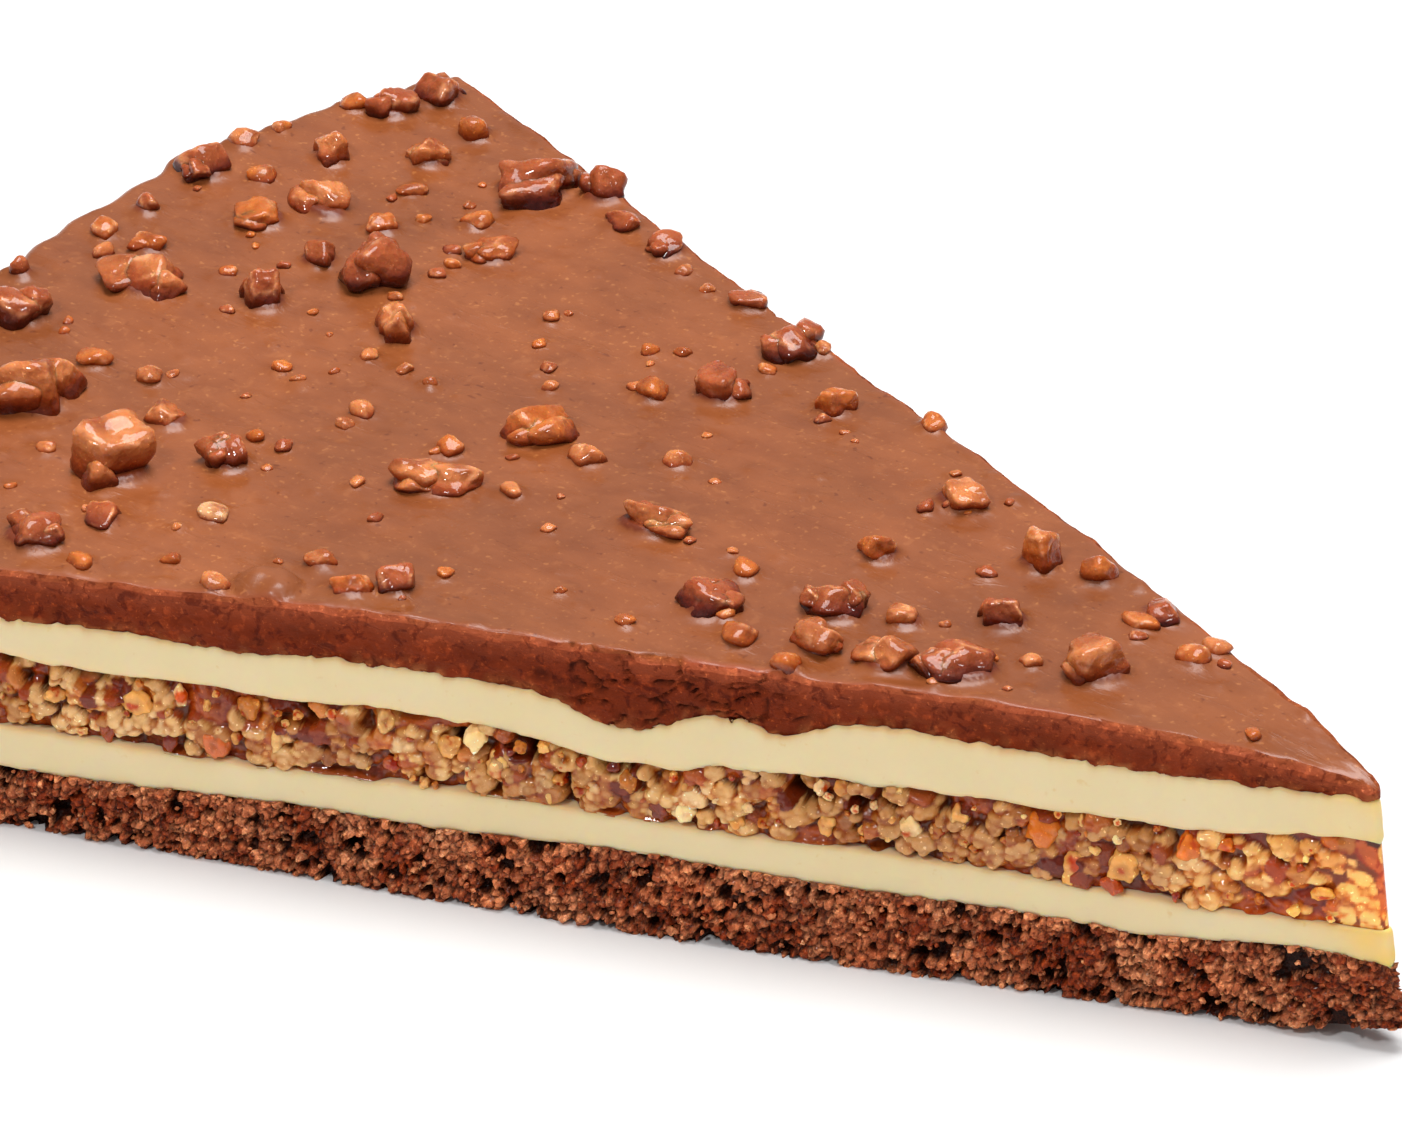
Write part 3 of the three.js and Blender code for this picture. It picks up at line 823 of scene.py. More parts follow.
def cream_paint(bottom_stain, top_stain, tip_glow):
    """A function that paints cream with so much stain at its borders and so much painted glow of light
    through the thin tip.
    """
    def paint(wall, state):
        base = np.tile(CREAM, (len(wall), 1))
        under = (state["z"] - state["low"]) + 0.12 * noise(wall, 0.8, 6)
        over = (state["high"] - state["z"]) + 0.12 * noise(wall, 0.8, 7)
        base = mix(base, CREAM_EDGE, bottom_stain * np.exp(-np.clip(under, 0, 9) / 0.22))
        base = mix(base, CREAM_EDGE, top_stain * np.exp(-np.clip(over, 0, 9) / 0.22))
        # Painted glow of light through the thin tip.
        return mix(base, CREAM_TIP_GLOW, tip_glow * (1 + 0.5 * noise(wall, 1.5, 9)) * hump(state["r"], 4))
    return paint


def build_creams(outline, cream):
    layers = {
        "lower_cream": (sponge_top, lower_cream_top, 12, cream_paint(0.25, 0.4, 0.65)),
        "upper_cream": (nut_top, upper_cream_top, 15, cream_paint(0.2, 0.55, 0.35)),
    }
    for cad_node, (floor_at, top_at, rows, paint) in layers.items():
        points, faces, colours = layer_wall(outline, floor_at, lapped(top_at), rows, cream_relief, paint)
        new_piece(cad_node + "_layer", points, faces, colours, [cream], [cad_node])


# ---- nut layer
def smooth_max(one, other, blend):
    """The larger of two heights, rounded off where they meet, and the share that the first has in it."""
    share = np.clip(0.5 + 0.5 * (one - other) / blend, 0, 1)
    return other + (one - other) * share + blend * share * (1 - share), share


def chunk_rows(draw, outline):
    """Chunks of nut on the wall, each a cluster of nodules: distance along, height, depth of the middle,
    three radii and tone."""
    rows = []
    for _ in range(900):
        along = draw.uniform(outline.start + 0.3, outline.end - 0.3)
        r, a = outline.polar_at(along)
        low, high = lower_cream_top(r, a), nut_top(r, a)
        size = draw.uniform(0.4, 1.0)
        up = draw.random()
        z = low + 0.7 * size + (high - low - 1.4 * size) * up
        middle = -size * draw.uniform(0.7, 1.3)
        tone_of = NUT_TONES[draw.integers(len(NUT_TONES))] * draw.uniform(0.85, 1.05)
        if draw.random() < (0.28 if up > 0.5 else 0.08):
            tone_of = CARAMEL_TONES[draw.integers(len(CARAMEL_TONES))]
        long, tall = size * draw.uniform(0.8, 1.4), size * draw.uniform(0.7, 1.0)
        rows.append((along, z, middle, long, tall, size, tone_of))
        for _ in range(int(5 * size**2) + 2):
            way, away = draw.uniform(0, 2 * math.pi), draw.uniform(0.2, 0.95)
            nodule = draw.uniform(0.2, 0.42)
            u, v = size * away * math.cos(way), size * away * math.sin(way)
            sunk = middle + size * math.sqrt(1 - away**2) - 0.55 * nodule
            tint = tone_of * draw.uniform(0.9, 1.12)
            rows.append((along + u, z + v, sunk, nodule * 1.1, nodule, nodule, tint))
    return rows


def lump_field(rows, along, z):
    """Height and tone of a wall on which the lumps of rows have grown together."""
    height = np.full(z.shape, -1.9)
    # Where no lump reaches, the wall starts in the binder's painted shade.
    tones = np.tile(BINDER_SHADE, (*z.shape, 1))
    for at, level, middle, long, tall, deep, tint in rows:
        first, last = np.searchsorted(along, (at - 1.6 * long, at + 1.6 * long))
        u = (along[first:last, None] - at) / long
        v = (z[first:last] - level) / tall
        inside = 1 - u * u - v * v
        lump = middle + deep * np.sqrt(np.clip(inside, 0, 1)) + 2.5 * np.clip(inside, -9, 0)
        height[first:last], share = smooth_max(lump, height[first:last], 0.07)
        tones[first:last] = mix(tones[first:last], tint, smoothstep(0.2, 0.8, share))
    return height, tones


def blurred(grid, across, down):
    """A box blur of a grid along both of its axes."""
    for axis, width in ((0, across), (1, down)):
        padded = np.pad(grid, [(width, width) if k == axis else (0, 0) for k in (0, 1)], mode="edge")
        total = np.cumsum(padded, axis=axis)
        ends = np.take(total, np.arange(2 * width, total.shape[axis]), axis=axis)
        starts = np.take(total, np.arange(0, total.shape[axis] - 2 * width), axis=axis)
        grid = (ends - starts) / (2 * width)
    return grid


class NutWall:
    """The nut layer's wall: lumps grown together, caramel between them, open hollows under the cream."""

    def __init__(self, draw, outline, rows):
        self.chunks = chunk_rows(draw, outline)
        self.rows = rows

    def relief(self, wall, state):
        shape = (-1, self.rows)
        height, tones = lump_field(self.chunks, state["along"], wall[:, 2].reshape(shape))
        height += (0.05 * rough(wall, 0.5, 21)).reshape(shape)
        open_top = smoothstep(0.1, 0.45, noise(wall, 1.6, 12)) * smoothstep(0.45, 0.7, state["up"])
        lumps, _, _ = cells(wall, 0.6, 16)
        caramel = -0.95 + 0.5 * noise(wall, 1.7, 9) + 0.35 * noise(wall, 4, 10) - 1.3 * open_top
        caramel = (caramel + 0.25 * np.sqrt(np.clip(1 - (lumps / 0.5) ** 2, 0, 1))).reshape(shape)
        height, share = smooth_max(height - 0.9 * open_top.reshape(shape), caramel, 0.1)
        amber = mix(np.tile(BINDER, (len(wall), 1)), CARAMEL_TONES[2], 0.4 + 0.9 * noise(wall, 1.3, 15))
        tones = mix(amber.reshape(tones.shape), tones, share)
        self.tones = self.shaded(wall, state, height, tones).reshape(-1, 3)
        self.foot = hump(state["z"] - state["low"], 0.2) * smoothstep(-0.3, 0.3, noise(wall, 1.4, 13))
        out = np.minimum(height.reshape(-1), 0.1) * (1 - self.foot) - 0.1 * self.foot
        out -= 0.5 * hump(state["r"], 5)
        return np.where(state["cut"], out, 0)

    def shaded(self, wall, state, height, tones):
        """Tones with a painted highlight on peaks, the caramel's amber and painted shade between lumps,
        painted shade in hollows, and darker in some stretches.
        """
        near = blurred(height, 3, 3) - height
        wide = blurred(height, 8, 8) - height
        nut = smoothstep(0.08, 0.3, tones[..., 1])
        # Painted highlight on the nuts' peaks.
        tones = mix(tones, NUT_PEAK_HIGHLIGHT, 0.65 * smoothstep(-0.02, -0.12, near) * nut)
        # The caramel's amber and painted shade between lumps.
        tones = mix(tones, tones * NUT_CREVICE_CARAMEL_AND_SHADE, smoothstep(-0.035, 0.07, near))
        # Painted shade in wide hollows.
        tones = mix(tones, BINDER_SHADE * 1.2, 0.95 * smoothstep(0.1, 0.38, wide))
        # Painted shade, deepest in the deepest hollows.
        tones = mix(tones, BINDER_SHADE * 0.5, smoothstep(-0.9, -1.5, height))
        middle = 0.55 * hump(state["r"], 24, 38) - 0.3
        away = smoothstep(-0.35, 0.45, noise(wall, 5, 17) + middle).reshape(height.shape)
        return mix(tones, tones * NUT_SHADE, 0.75 * away)

    def paint(self, wall, state):
        foot_tone = mix(np.tile(BINDER, (len(wall), 1)), NUT_TONES[3], 0.5 + noise(wall, 2.2, 14))
        base = mix(self.tones, foot_tone, 0.7 * self.foot)
        # Painted glow of light through the thin tip.
        return base * (1 + NUT_TIP_GLOW * np.exp(-state["r"] / 7)[:, None])


NUT_FACE = 4.9      # mean height of the nut layer on a cut
LARGE_NUT = 1.2
NUT_SIZES = [(1.3, 2.0, 40), (0.8, 1.3, 110), (0.35, 0.7, 450)]     # least and greatest size, and tries


def scattered(draw, outline, sizes, spread):
    """Places for lumps on the nut layer's wall, the largest first, none much inside another: distance along
    the outline, share of the layer's height, and size."""
    kept = np.zeros((0, 3))
    for low, high, tries in sizes:
        for _ in range(tries):
            size = draw.uniform(low, high)
            along = draw.uniform(outline.start + size / 2, outline.end - size / 2)
            up = draw.random()
            apart = np.hypot(kept[:, 0] - along, (kept[:, 1] - up) * NUT_FACE)
            if np.all(apart > spread * (kept[:, 2] + size) / 2):
                kept = np.vstack([kept, [along, up, size]])
    return kept


def loose_pieces(draw, outline, places, steps, tones):
    """Nodular pieces that stand out of the nut wall at places, as points, triangles and colours."""
    count = len(places)
    along, up, size = places.T
    radius = size / 2
    shapes, triangles, _ = chips(draw, count, steps, 1, 3, 0.22, 0.28)
    shapes = shapes * radius[:, None, None] * draw.uniform(0.75, 1.25, (count, 1, 3))
    r, a = outline.polar_at(along)
    low, high = lower_cream_top(r, a), nut_top(r, a)
    z = low + 0.9 * radius + (high - low - 1.8 * radius) * up
    out = -(draw.uniform(0.5, 1.0, count) * radius)[:, None] + shapes[:, :, 2]
    face = draw.uniform(-0.1, 0.1, count)[:, None]
    out = np.where(out > face, face + 0.6 * (out - face), out)
    placed = outline.place(along[:, None] + shapes[:, :, 0], z[:, None] + shapes[:, :, 1], out)
    tints = np.array(tones)[draw.integers(0, len(tones), count)] * draw.uniform(0.85, 1.08, (count, 1))
    # Painted glow of light through the thin tip.
    tints = tints * (1 + NUT_TIP_GLOW * np.exp(-r / 7)[:, None])
    colours = np.repeat(tints[:, None, :], shapes.shape[1], axis=1)
    reach = np.linalg.norm(shapes, axis=2) / radius[:, None]
    # Painted highlight on the outermost crowns of the nodules.
    colours = mix(colours, colours * 1.3, smoothstep(0.95, 1.2, reach))
    # The caramel's amber and a painted shade where a piece is sunk in the wall and between its nodules.
    sunk = np.maximum(smoothstep(0.9, 0.7, reach), smoothstep(-0.3, -0.8, out))
    colours = mix(colours, colours * BINDER * 1.5, sunk)
    points, faces = joined(placed, triangles)
    return points, faces, colours.reshape(-1, 3)


def build_nuts(outline, binder, nut, caramel):
    draw = np.random.default_rng(7)
    rows = round((NUT_TOP - LOWER_CREAM_TOP) / NUT_STEP)
    nut_wall = NutWall(draw, outline, rows)
    points, faces, colours = layer_wall(
        outline, lower_cream_top, lapped(nut_top), rows, nut_wall.relief, nut_wall.paint)
    new_piece("nut_binder", points, faces, colours, [binder], ["nut_layer"])

    places = scattered(draw, outline, NUT_SIZES, 1.1)
    places = places[outline.polar_at(places[:, 0])[0] > 4]
    reds = draw.random(len(places)) < np.where(places[:, 1] > 0.5, 0.35, 0.15)
    kinds = {"nut_pieces": (~reds, NUT_TONES, nut), "caramel_pieces": (reds, CARAMEL_TONES, caramel)}
    for name, (chosen, tones, finish) in kinds.items():
        large = places[:, 2] >= LARGE_NUT
        parts = [
            loose_pieces(draw, outline, places[chosen & of_size], steps, tones)
            for steps, of_size in ((4, large), (3, ~large))
        ]
        points, faces, colours = stacked(parts)
        new_piece(name, points, [faces], colours, [finish])


# ---- chocolate
def piece_place(r, degrees):
    """A toffee piece's place from above, kept off the rounded edge of the rim."""
    a = math.radians(degrees)
    furthest = RIM_RADIUS - RIM_ROUND - 0.4 + float(rim_swell(np.array(a)))
    return np.array(flat_point(min(r, furthest), a))


def flattened(points):
    """Points from above, at height 0."""
    return np.column_stack([points[:, :2], np.zeros(len(points))])


def meniscus(points):
    """How far the chocolate climbs at the toffee, its domes over coated pieces, and its moat round both."""
    climbs = np.zeros(len(points))
    domes = np.zeros(len(points))
    moat = np.zeros(len(points))
    for r, degrees, width, height, tone_name, stretch, turn in ALL_TOFFEE:
        away = points[:, :2] - piece_place(r, degrees)
        near = np.flatnonzero(np.abs(away).max(axis=1) < width * stretch / 2 + 3)
        c, s = math.cos(math.radians(turn)), math.sin(math.radians(turn))
        u = away[near, 0] * c + away[near, 1] * s
        v = away[near, 1] * c - away[near, 0] * s
        reach = np.hypot(u / stretch, v) - width / 2 * 0.72
        if tone_name == "coated":
            dome = np.clip(1 - (np.hypot(u / stretch, v) / (width * 0.62)) ** 2, 0, 1)
            lumpy = 1 + 0.35 * noise(points[near] * [1, 1, 0], 1.3, 19)
            domes[near] = np.maximum(domes[near], height * dome**0.8 * lumpy)
        else:
            climb = min(0.4 * height, 0.5)
            shape = climb * np.exp(-((np.clip(reach, 0, None) / 0.32) ** 1.3))
            climbs[near] = np.maximum(climbs[near], shape)
        moat[near] -= 0.035 * hump(reach, 0.6, 1.3)
    return climbs, domes, moat


def plain_height(points):
    """Height of the chocolate's top at points from above, without what the toffee does to it."""
    r, a = polar(points[:, 0], points[:, 1])
    flat = flattened(points)
    level = chocolate_top(r, a) + 0.3 * noise(flat, 14, 1)
    return level + 0.15 * noise(flat, 4.5, 2) + 0.035 * noise(flat, 1.5, 3)


def specks(flat):
    """Low bumps where the chocolate covers the finest crumbs of toffee."""
    total = np.zeros(len(flat))
    for size, height, shift in ((2.6, 0.16, 21), (1.5, 0.09, 22)):
        near, _, pick = cells(flat, size, shift)
        total += height * (pick > 0.45) * hump(near, 0.17 * size * (0.6 + pick))
    return total


def surface_height(points):
    """Height of the chocolate's top at points from above, and how far it climbs there at a toffee piece."""
    r, a = polar(points[:, 0], points[:, 1])
    climbs, domes, moat = meniscus(points)
    flat = flattened(points)
    edge = (HALF - np.abs(a)) * r
    lip = 0.14 * hump(edge, 0.5, 0.6) * (0.5 + 0.8 * noise(flat, 3, 5))
    inset = np.clip(EDGE_ROUND - edge, 0, EDGE_ROUND)
    drop = EDGE_ROUND - np.sqrt(EDGE_ROUND**2 - inset**2)
    broken = 0.16 * noise(flat, 1.6, 11) * np.exp(-edge / 0.5)
    height = plain_height(points) + np.maximum(climbs, domes) + specks(flat) + moat + lip + broken - drop
    return height, climbs


def cut_wear(points):
    """How far the chocolate's cut face is chipped and dragged in, cracked where the chocolate is thick."""
    r, a = polar(points[:, 0], points[:, 1])
    edge = (HALF - np.abs(a)) * r
    pocket = bump(r, a, 43, -HALF, 9, 6) + bump(r, a, 66, HALF, 6, 6)
    dragged = points * np.array([0.5, 0.5, 1.3])
    _, gap, pick = cells(dragged + 0.4 * noise(points, 1.5, 9)[:, None], 1.7, 6)
    crack = hump(gap, 0.08) * smoothstep(0.25, 0.8, pocket)
    step = 0.45 * (pick - 0.5) * smoothstep(0.2, 0.8, pocket)
    rough_part = 0.16 * noise(dragged, 1.2, 2) + 0.1 * noise(dragged, 0.5, 3) + 0.06 * noise(points, 0.4, 4)
    return (rough_part - 0.12 + step - 0.4 * crack) * np.exp(-edge / 0.4)


def coat_profile():
    """The round between the top and the rim: how far in, and how far down, each of its rings is."""
    turn = np.linspace(0, math.pi / 2, ROUND_STEPS + 1)
    return RIM_ROUND * (1 - np.sin(turn)), RIM_ROUND * (1 - np.cos(turn))


def fan_rows():
    """The chocolate's top as rows of points, each with one more than the last, and the faces between."""
    near = TIP_REACH
    rows, faces, first = [], [], 0
    reach = RIM_RADIUS - COAT
    for k in range(TOP_ROWS + 1):
        count = TIP_COLUMNS + k + 1
        a = np.linspace(-HALF, HALF, count)
        tip = near * np.cos(a) - np.sqrt(np.clip(TIP_ROUND**2 - (near * np.sin(a)) ** 2, 0, None))
        share = k / TOP_ROWS
        rows.append(np.stack(flat_point(tip + (reach + rim_swell(a) - tip) * share, a), axis=1))
        if k < TOP_ROWS:
            j = np.arange(count)
            after = first + count
            faces.append(np.stack([first + j, after + j, after + j + 1], axis=1))
            j = np.arange(count - 1)
            faces.append(np.stack([first + j, after + j + 1, first + j + 1], axis=1))
        first += count
    return rows, np.concatenate(faces)[:, ::-1]


class Slab:
    """The chocolate's mesh as it grows: the top, the coat down the rim, and then the walls of the cuts."""

    def __init__(self):
        self.rows, top_faces = fan_rows()
        top = np.concatenate(self.rows)
        z, self.climbs = surface_height(flattened(top))
        self.parts = [np.column_stack([top, z])]
        self.count = len(top)
        r, a = polar(*top[top_faces[:, 0]].T)
        by_cut = (HALF - np.abs(a)) * r < 0.4
        self.faces = [top_faces[~by_cut], top_faces[by_cut]]
        self.cut_arrays = [1]
        self.columns = len(self.rows[-1])
        self.rim = np.linspace(-HALF, HALF, self.columns)
        self.rings = [np.arange(self.columns) + self.count - self.columns]
        self.rim_height = z[self.rings[0]]

    def add(self, points):
        """Adds points and gives their numbers."""
        numbers = np.arange(len(points)) + self.count
        self.parts.append(points)
        self.count += len(points)
        return numbers

    def add_cut_faces(self, faces):
        """Adds faces that have the cut chocolate's finish."""
        self.cut_arrays.append(len(self.faces))
        self.faces.append(faces)

    def add_ring(self, r, z, waviness=1.0):
        """A ring of points along the rim, joined to the ring before it."""
        x, y = flat_point(r + rim_swell(self.rim, waviness), self.rim)
        before = self.rings[-1]
        made = self.add(np.column_stack([x, y, z]))
        self.faces.append(np.stack([before[1:], made[1:], made[:-1], before[:-1]], axis=1))
        self.rings.append(made)

    def points(self):
        return np.concatenate(self.parts)


def add_coat(slab):
    """The coat: the round at the top's edge, the side down to its foot, and its back up to the slab's floor.
    Gives the numbers of the outer rings."""
    for step_in, step_down in zip(*coat_profile()):
        slab.add_ring(RIM_RADIUS - step_in, slab.rim_height - step_down)
    a = slab.rim
    foot = coat_foot(a) + 0.12 * ragged(np.full(slab.columns, RIM_RADIUS), a, 1.5, 6)
    side_top = slab.rim_height - RIM_ROUND
    for share in np.linspace(0, 1, COAT_ROWS + 1)[1:]:
        unrolled = np.column_stack([0 * a, a * RIM_RADIUS, 0 * a + share * 16])
        wave = 0.1 * noise(unrolled, 5, 3) * np.sin(share * math.pi)
        tuck = -0.5 * smoothstep(0.93, 1, share)
        slab.add_ring(RIM_RADIUS + wave + tuck, side_top + (foot - side_top) * share, (1 - share) ** 3)
    outer = slab.rings[1:]
    inside = RIM_RADIUS - COAT
    slab.add_ring(inside, foot + 0.1, 0.0)
    slab.add_ring(inside, upper_cream_top(np.full(slab.columns, inside), a), 0.0)
    return outer


def add_cut_wall(slab):
    """The walls of the two cuts under the top's edges, joined round the tip, and the slab's floor. Gives the
    numbers of the walls' points, and how far each lies below the top and above the cream."""
    starts = np.cumsum([0] + [len(row) for row in slab.rows])
    front, back = starts[:-1], starts[1:] - 1
    loop = np.concatenate([front[::-1], np.arange(1, len(slab.rows[0]) - 1), back])
    edge = slab.points()[loop]
    low = upper_cream_top(*polar(edge[:, 0], edge[:, 1]))[:, None]
    high = edge[:, 2][:, None]
    z = low + (high - low) * np.linspace(1, 0, SLAB_ROWS)
    wall = np.concatenate([np.repeat(edge[:, None, :2], SLAB_ROWS, axis=1), z[:, :, None]], axis=2)
    numbers = slab.add(wall.reshape(-1, 3))
    slab.add_cut_faces(grid_faces(len(loop), SLAB_ROWS, numbers[0])[:, ::-1])
    slab.add_cut_faces(ladder_strip(numbers[SLAB_ROWS - 1::SLAB_ROWS]))
    slab.add_cut_faces(ladder_strip(slab.rings[-1])[:, ::-1])
    return numbers, (high - z).ravel(), (z - low).ravel()


def add_coat_ends(slab, outer_rings):
    """The coat's section at each cut. Its columns follow the round, its rows the outside."""
    points = slab.points()
    for end, flip in ((0, False), (-1, True)):
        outside = np.array([ring[end] for ring in outer_rings])
        corner = points[slab.rings[0][end]]
        height = np.minimum(points[outside, 2], corner[2])
        inside = slab.add(np.column_stack([np.tile(corner[:2], (len(height), 1)), height]))
        quads = np.stack([inside[:-1], inside[1:], outside[1:], outside[:-1]], axis=1)
        slab.add_cut_faces(quads if flip else quads[:, ::-1])


def build_chocolate(finish, cut_finish):
    slab = Slab()
    outer_rings = add_coat(slab)
    wall, wall_below, wall_above = add_cut_wall(slab)
    add_coat_ends(slab, outer_rings)
    points = slab.points()
    below, above = np.full((2, len(points)), 9.0)
    below[wall] = wall_below
    above[wall] = wall_above

    worn = cut_wear(points)
    worn[wall] -= 0.2 * smoothstep(0.25, 0.8, wall_below) * (0.6 + 0.6 * noise(points[wall], 5, 8))
    r, a = polar(points[:, 0], points[:, 1])
    points[:, 0] += math.sin(HALF) * worn
    points[:, 1] += np.sign(a) * math.cos(HALF) * worn * (r > 2)
    climbs = np.zeros(len(points))
    climbs[: len(slab.climbs)] = slab.climbs
    is_cut = np.arange(len(points)) >= wall[0]
    colours = np.where(is_cut[:, None], cut_paint(points, below, above, worn), top_paint(points, climbs))
    skin_of = [int(k in slab.cut_arrays) for k in range(len(slab.faces))]
    new_piece("chocolate_slab", lean(points), slab.faces, colours, [finish, cut_finish],
              ["chocolate_top"], skin_of)


def ladder_strip(loop):
    """Faces across from the first half of an open loop to its mirrored second half."""
    i = np.arange(len(loop) // 2 - 1)
    other = loop[::-1]
    return np.stack([loop[i], other[i], other[i + 1], loop[i + 1]], axis=1)


def top_paint(points, climbs):
    """Tones of the chocolate's top: mottled, redder along the cuts in the painted highlight tone of the
    cut's lip, and a painted shade where it climbs at the toffee.
    """
    r, a = polar(points[:, 0], points[:, 1])
    mottled = 0.4 + 0.6 * noise(points, 9, 3) + 0.4 * noise(points, 3, 4)
    tones = mix(np.tile(CHOCOLATE, (len(points), 1)), CHOCOLATE * 0.78, mottled)
    # Along the cuts the top takes the lip's painted highlight tone.
    tones = mix(tones, CUT_LIP_HIGHLIGHT, hump((HALF - np.abs(a)) * r, 0.4))
    # A ring of painted shade at each piece's foot, where the chocolate climbs.
    return mix(tones, CHOCOLATE_FOOT_SHADE, 0.85 * smoothstep(0.2, 0.36, climbs))


def cut_paint(points, below, above, worn):
    """Tones of the cut face: a painted highlight on the rounded lip at its top, painted shade in deep chips
    and cracks, crumbly and stained by the cream at its foot.
    """
    tones = np.tile(CHOCOLATE_CUT, (len(points), 1)) * (1 + 0.22 * rough(points, 1.1, 3))[:, None]
    # Painted shade where the face is chipped or cracked deep.
    tones = mix(tones, CHOCOLATE_CUT * 0.3, smoothstep(0.35, 0.6, -worn))
    crumbly = np.exp(-above / 0.9) * smoothstep(-0.3, 0.4, noise(points, 1.2, 12))
    tones = mix(tones, CHOCOLATE_CUT * 0.7, 0.6 * crumbly)
    # Painted highlight on the lip at the top of the face.
    tones = mix(tones, CUT_LIP_HIGHLIGHT, 0.6 * hump(below, 0.9))
    stain = smoothstep(-0.2, 0.5, noise(points, 0.5, 7)) * np.exp(-above / 0.35)
    return mix(tones, CUT_STAIN, 0.5 * stain)


def toffee_lobes(draw, width):
    """A piece's lumps, each its size and its shift along, across and up: a main one and, on larger pieces,
    two more that grow out of its side."""
    lobes = [(1.0, 0.0, 0.0, 0.0)]
    if width > 2.6:
        for _ in range(2):
            way = draw.uniform(0, 2 * math.pi)
            size = draw.uniform(0.5, 0.8)
            lobes.append((size, 0.3 * math.cos(way), 0.3 * math.sin(way), draw.uniform(-0.2, 0.15)))
    return lobes


def toffee_paint(tone_name, placed, ups, over, edge):
    """Tones of one lump: chocolate and broken light edges on top, the edges partly toffee showing where the
    chocolate is thin and partly a painted highlight; painted shade on the sides, deepest at the foot. ups is
    how far up its own form a point is, over its height above the chocolate as a share of the piece's."""
    # Painted shade on the sides and at the foot.
    side, foot = (RED_SIDE_SHADE, RED_FOOT_SHADE) if tone_name == "red" else (TOFFEE_SIDE_SHADE, TOFFEE_FOOT_SHADE)
    tint = mix(np.tile(TONES[tone_name], (len(placed), 1)), side, 0.95 * (1 - smoothstep(0.05, 0.65, ups)))
    coated = 0.85 * smoothstep(-0.2, 0.4, noise(placed, 1.2, 8)) * smoothstep(0.1, 0.7, ups)
    tint = mix(tint, TOFFEE_COAT, coated)
    # Painted shade, deepest at the foot.
    tint = mix(tint, foot, 0.85 * (1 - smoothstep(0.16, 0.42, over + 0.1 * noise(placed, 0.9, 9))))
    # Light edges: partly thin chocolate, partly a painted highlight.
    broken = smoothstep(-0.3, 0.4, noise(placed, 0.8, 11))
    return mix(tint, TOFFEE_THIN_EDGE_AND_HIGHLIGHT, 0.8 * broken * edge * smoothstep(0.3, 0.7, over))


def toffee_piece(draw, piece):
    """The lumps of one toffee piece, each as points, triangles and colours."""
    r, degrees, width, height, tone_name, stretch, turn = piece
    middle = piece_place(r, degrees)
    base = plain_height(middle[None])[0]
    long, tall, deep = width * stretch, height * 1.25, height * 0.7
    large = width > 2.3
    sharpness, uneven, least = (7, 0.15, 0.58) if large else (4, 0.1, 0.7)
    c, s = math.cos(math.radians(turn)), math.sin(math.radians(turn))
    for size, along, across, up in toffee_lobes(draw, width):
        steps = 4 if large and (size == 1.0 or width > 3.5) else 3
        shapes, triangles, edge = chips(draw, 1, steps, 5, sharpness, uneven, least=least)
        shape = shapes[0] / np.abs(shapes[0]).max(axis=0)
        shape += 0.05 * rough(shape + draw.uniform(0, TILE, 3), 0.4)[:, None] * shape
        ups = shape[:, 2]
        shape = shape * np.array([long * 0.52, width * 0.52, (tall + deep) / 2]) * size
        shape += np.array([along * long, across * width, up * height + (tall - deep) / 2])
        x = shape[:, 0] * c - shape[:, 1] * s + middle[0]
        y = shape[:, 0] * s + shape[:, 1] * c + middle[1]
        placed = np.column_stack([x, y, shape[:, 2] + base])
        yield placed, triangles, toffee_paint(tone_name, placed, ups, shape[:, 2] / height, edge[0])


def build_toffee(finish):
    draw = np.random.default_rng(12)
    bare = [piece for piece in ALL_TOFFEE if piece.tone != "coated"]
    points, faces, colours = stacked([lump for piece in bare for lump in toffee_piece(draw, piece)])
    new_piece("toffee_chips", lean(points), [faces], colours, [finish])


# ---- stage
CAMERA = {"azimuth": 37.747, "elevation": 29.253, "distance": 0.63464}
CAMERA_TARGET = (-0.00024, 0.00399, 0.012)
CAMERA_LENS = 270.0
LIGHT_TARGET = (0, 0, 0.01)
# Azimuth, elevation, distance, size and brightness, which at 1 lights a white card facing it to full white.
LIGHTS = {
    "overhead": (190, 80, 1.0, 0.6, 1.2),
    "key": (0, 50, 1.0, 0.13, 0.32),
    "behind": (217, 33, 1.0, 0.4, 0.015),
    "far_glint": (75, 55, 0.8, 0.07, 0.08),
}
SURROUNDINGS = 0.3
FLOOR_HALF = 3.0
FLOOR_GREY = 0.76


def add_object(name, data):
    made = bpy.data.objects.new(name, data)
    bpy.context.scene.collection.objects.link(made)
    return made


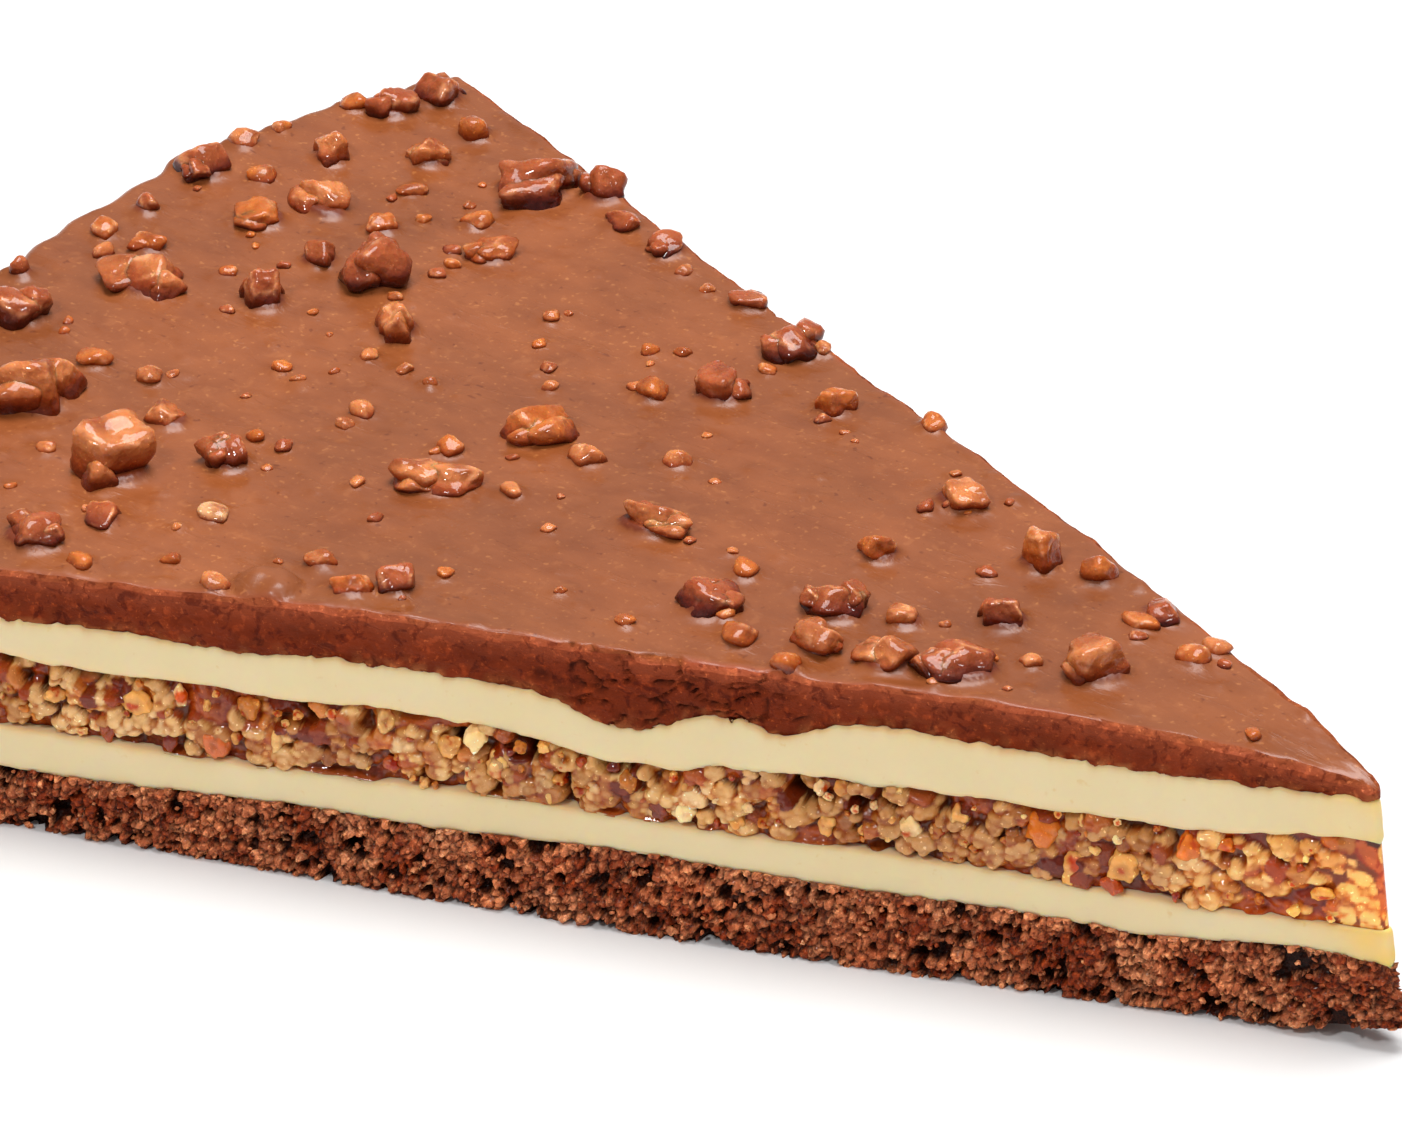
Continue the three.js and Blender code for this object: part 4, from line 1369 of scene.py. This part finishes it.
def aim(thing, target, azimuth, elevation, distance):
    """Puts a camera or light at that distance from the target, looking at it. Azimuth 0 looks along +Y."""
    az, el = math.radians(azimuth), math.radians(elevation)
    thing.location = [
        target[0] + distance * math.sin(az) * math.cos(el),
        target[1] - distance * math.cos(az) * math.cos(el),
        target[2] + distance * math.sin(el),
    ]
    thing.rotation_euler = (math.pi / 2 - el, 0, az)


def build_floor():
    plain = bpy.data.materials.new("pale_floor")
    plain.use_nodes = True
    shader = plain.node_tree.nodes["Principled BSDF"]
    shader.inputs["Base Color"].default_value = (FLOOR_GREY, FLOOR_GREY, FLOOR_GREY, 1)
    shader.inputs["Roughness"].default_value = 0.7
    floor = bpy.data.meshes.new("floor")
    corners = [(x * FLOOR_HALF, y * FLOOR_HALF, 0) for x, y in ((-1, -1), (1, -1), (1, 1), (-1, 1))]
    floor.from_pydata(corners, [], [(0, 1, 2, 3)])
    floor.materials.append(plain)
    add_object("floor", floor)


def build_surroundings():
    world = bpy.data.worlds.new("studio")
    bpy.context.scene.world = world
    world.use_nodes = True
    background = world.node_tree.nodes["Background"]
    background.inputs["Color"].default_value = (1, 1, 1, 1)
    background.inputs["Strength"].default_value = SURROUNDINGS


def build_lights():
    for name, (azimuth, elevation, distance, size, brightness) in LIGHTS.items():
        data = bpy.data.lights.new(name, "AREA")
        data.size = size
        data.energy = brightness * (math.pi * distance) ** 2
        aim(add_object(name, data), LIGHT_TARGET, azimuth, elevation, distance)


def build_camera():
    data = bpy.data.cameras.new("camera")
    data.lens = CAMERA_LENS
    data.sensor_width = 36
    data.clip_start = 0.05
    data.clip_end = 20
    camera = add_object("camera", data)
    aim(camera, CAMERA_TARGET, **CAMERA)
    bpy.context.scene.camera = camera


build_camera()
build_floor()
build_surroundings()
build_lights()
bpy.context.scene.view_settings.view_transform = "Standard"

build_sponge(Outline(CRUMB_STEP), crumb_material())
build_creams(Outline(CREAM_STEP), cream_material())
binder, nut, caramel = (
    nut_material(name, gloss, depth)
    for name, gloss, depth in (("binder", 0.7, 0.35), ("nuts", 0.6, 0.35), ("caramel", 0.9, 0.4))
)
build_nuts(Outline(NUT_STEP), binder, nut, caramel)
build_chocolate(chocolate_material(), cut_chocolate_material())
build_toffee(toffee_material())
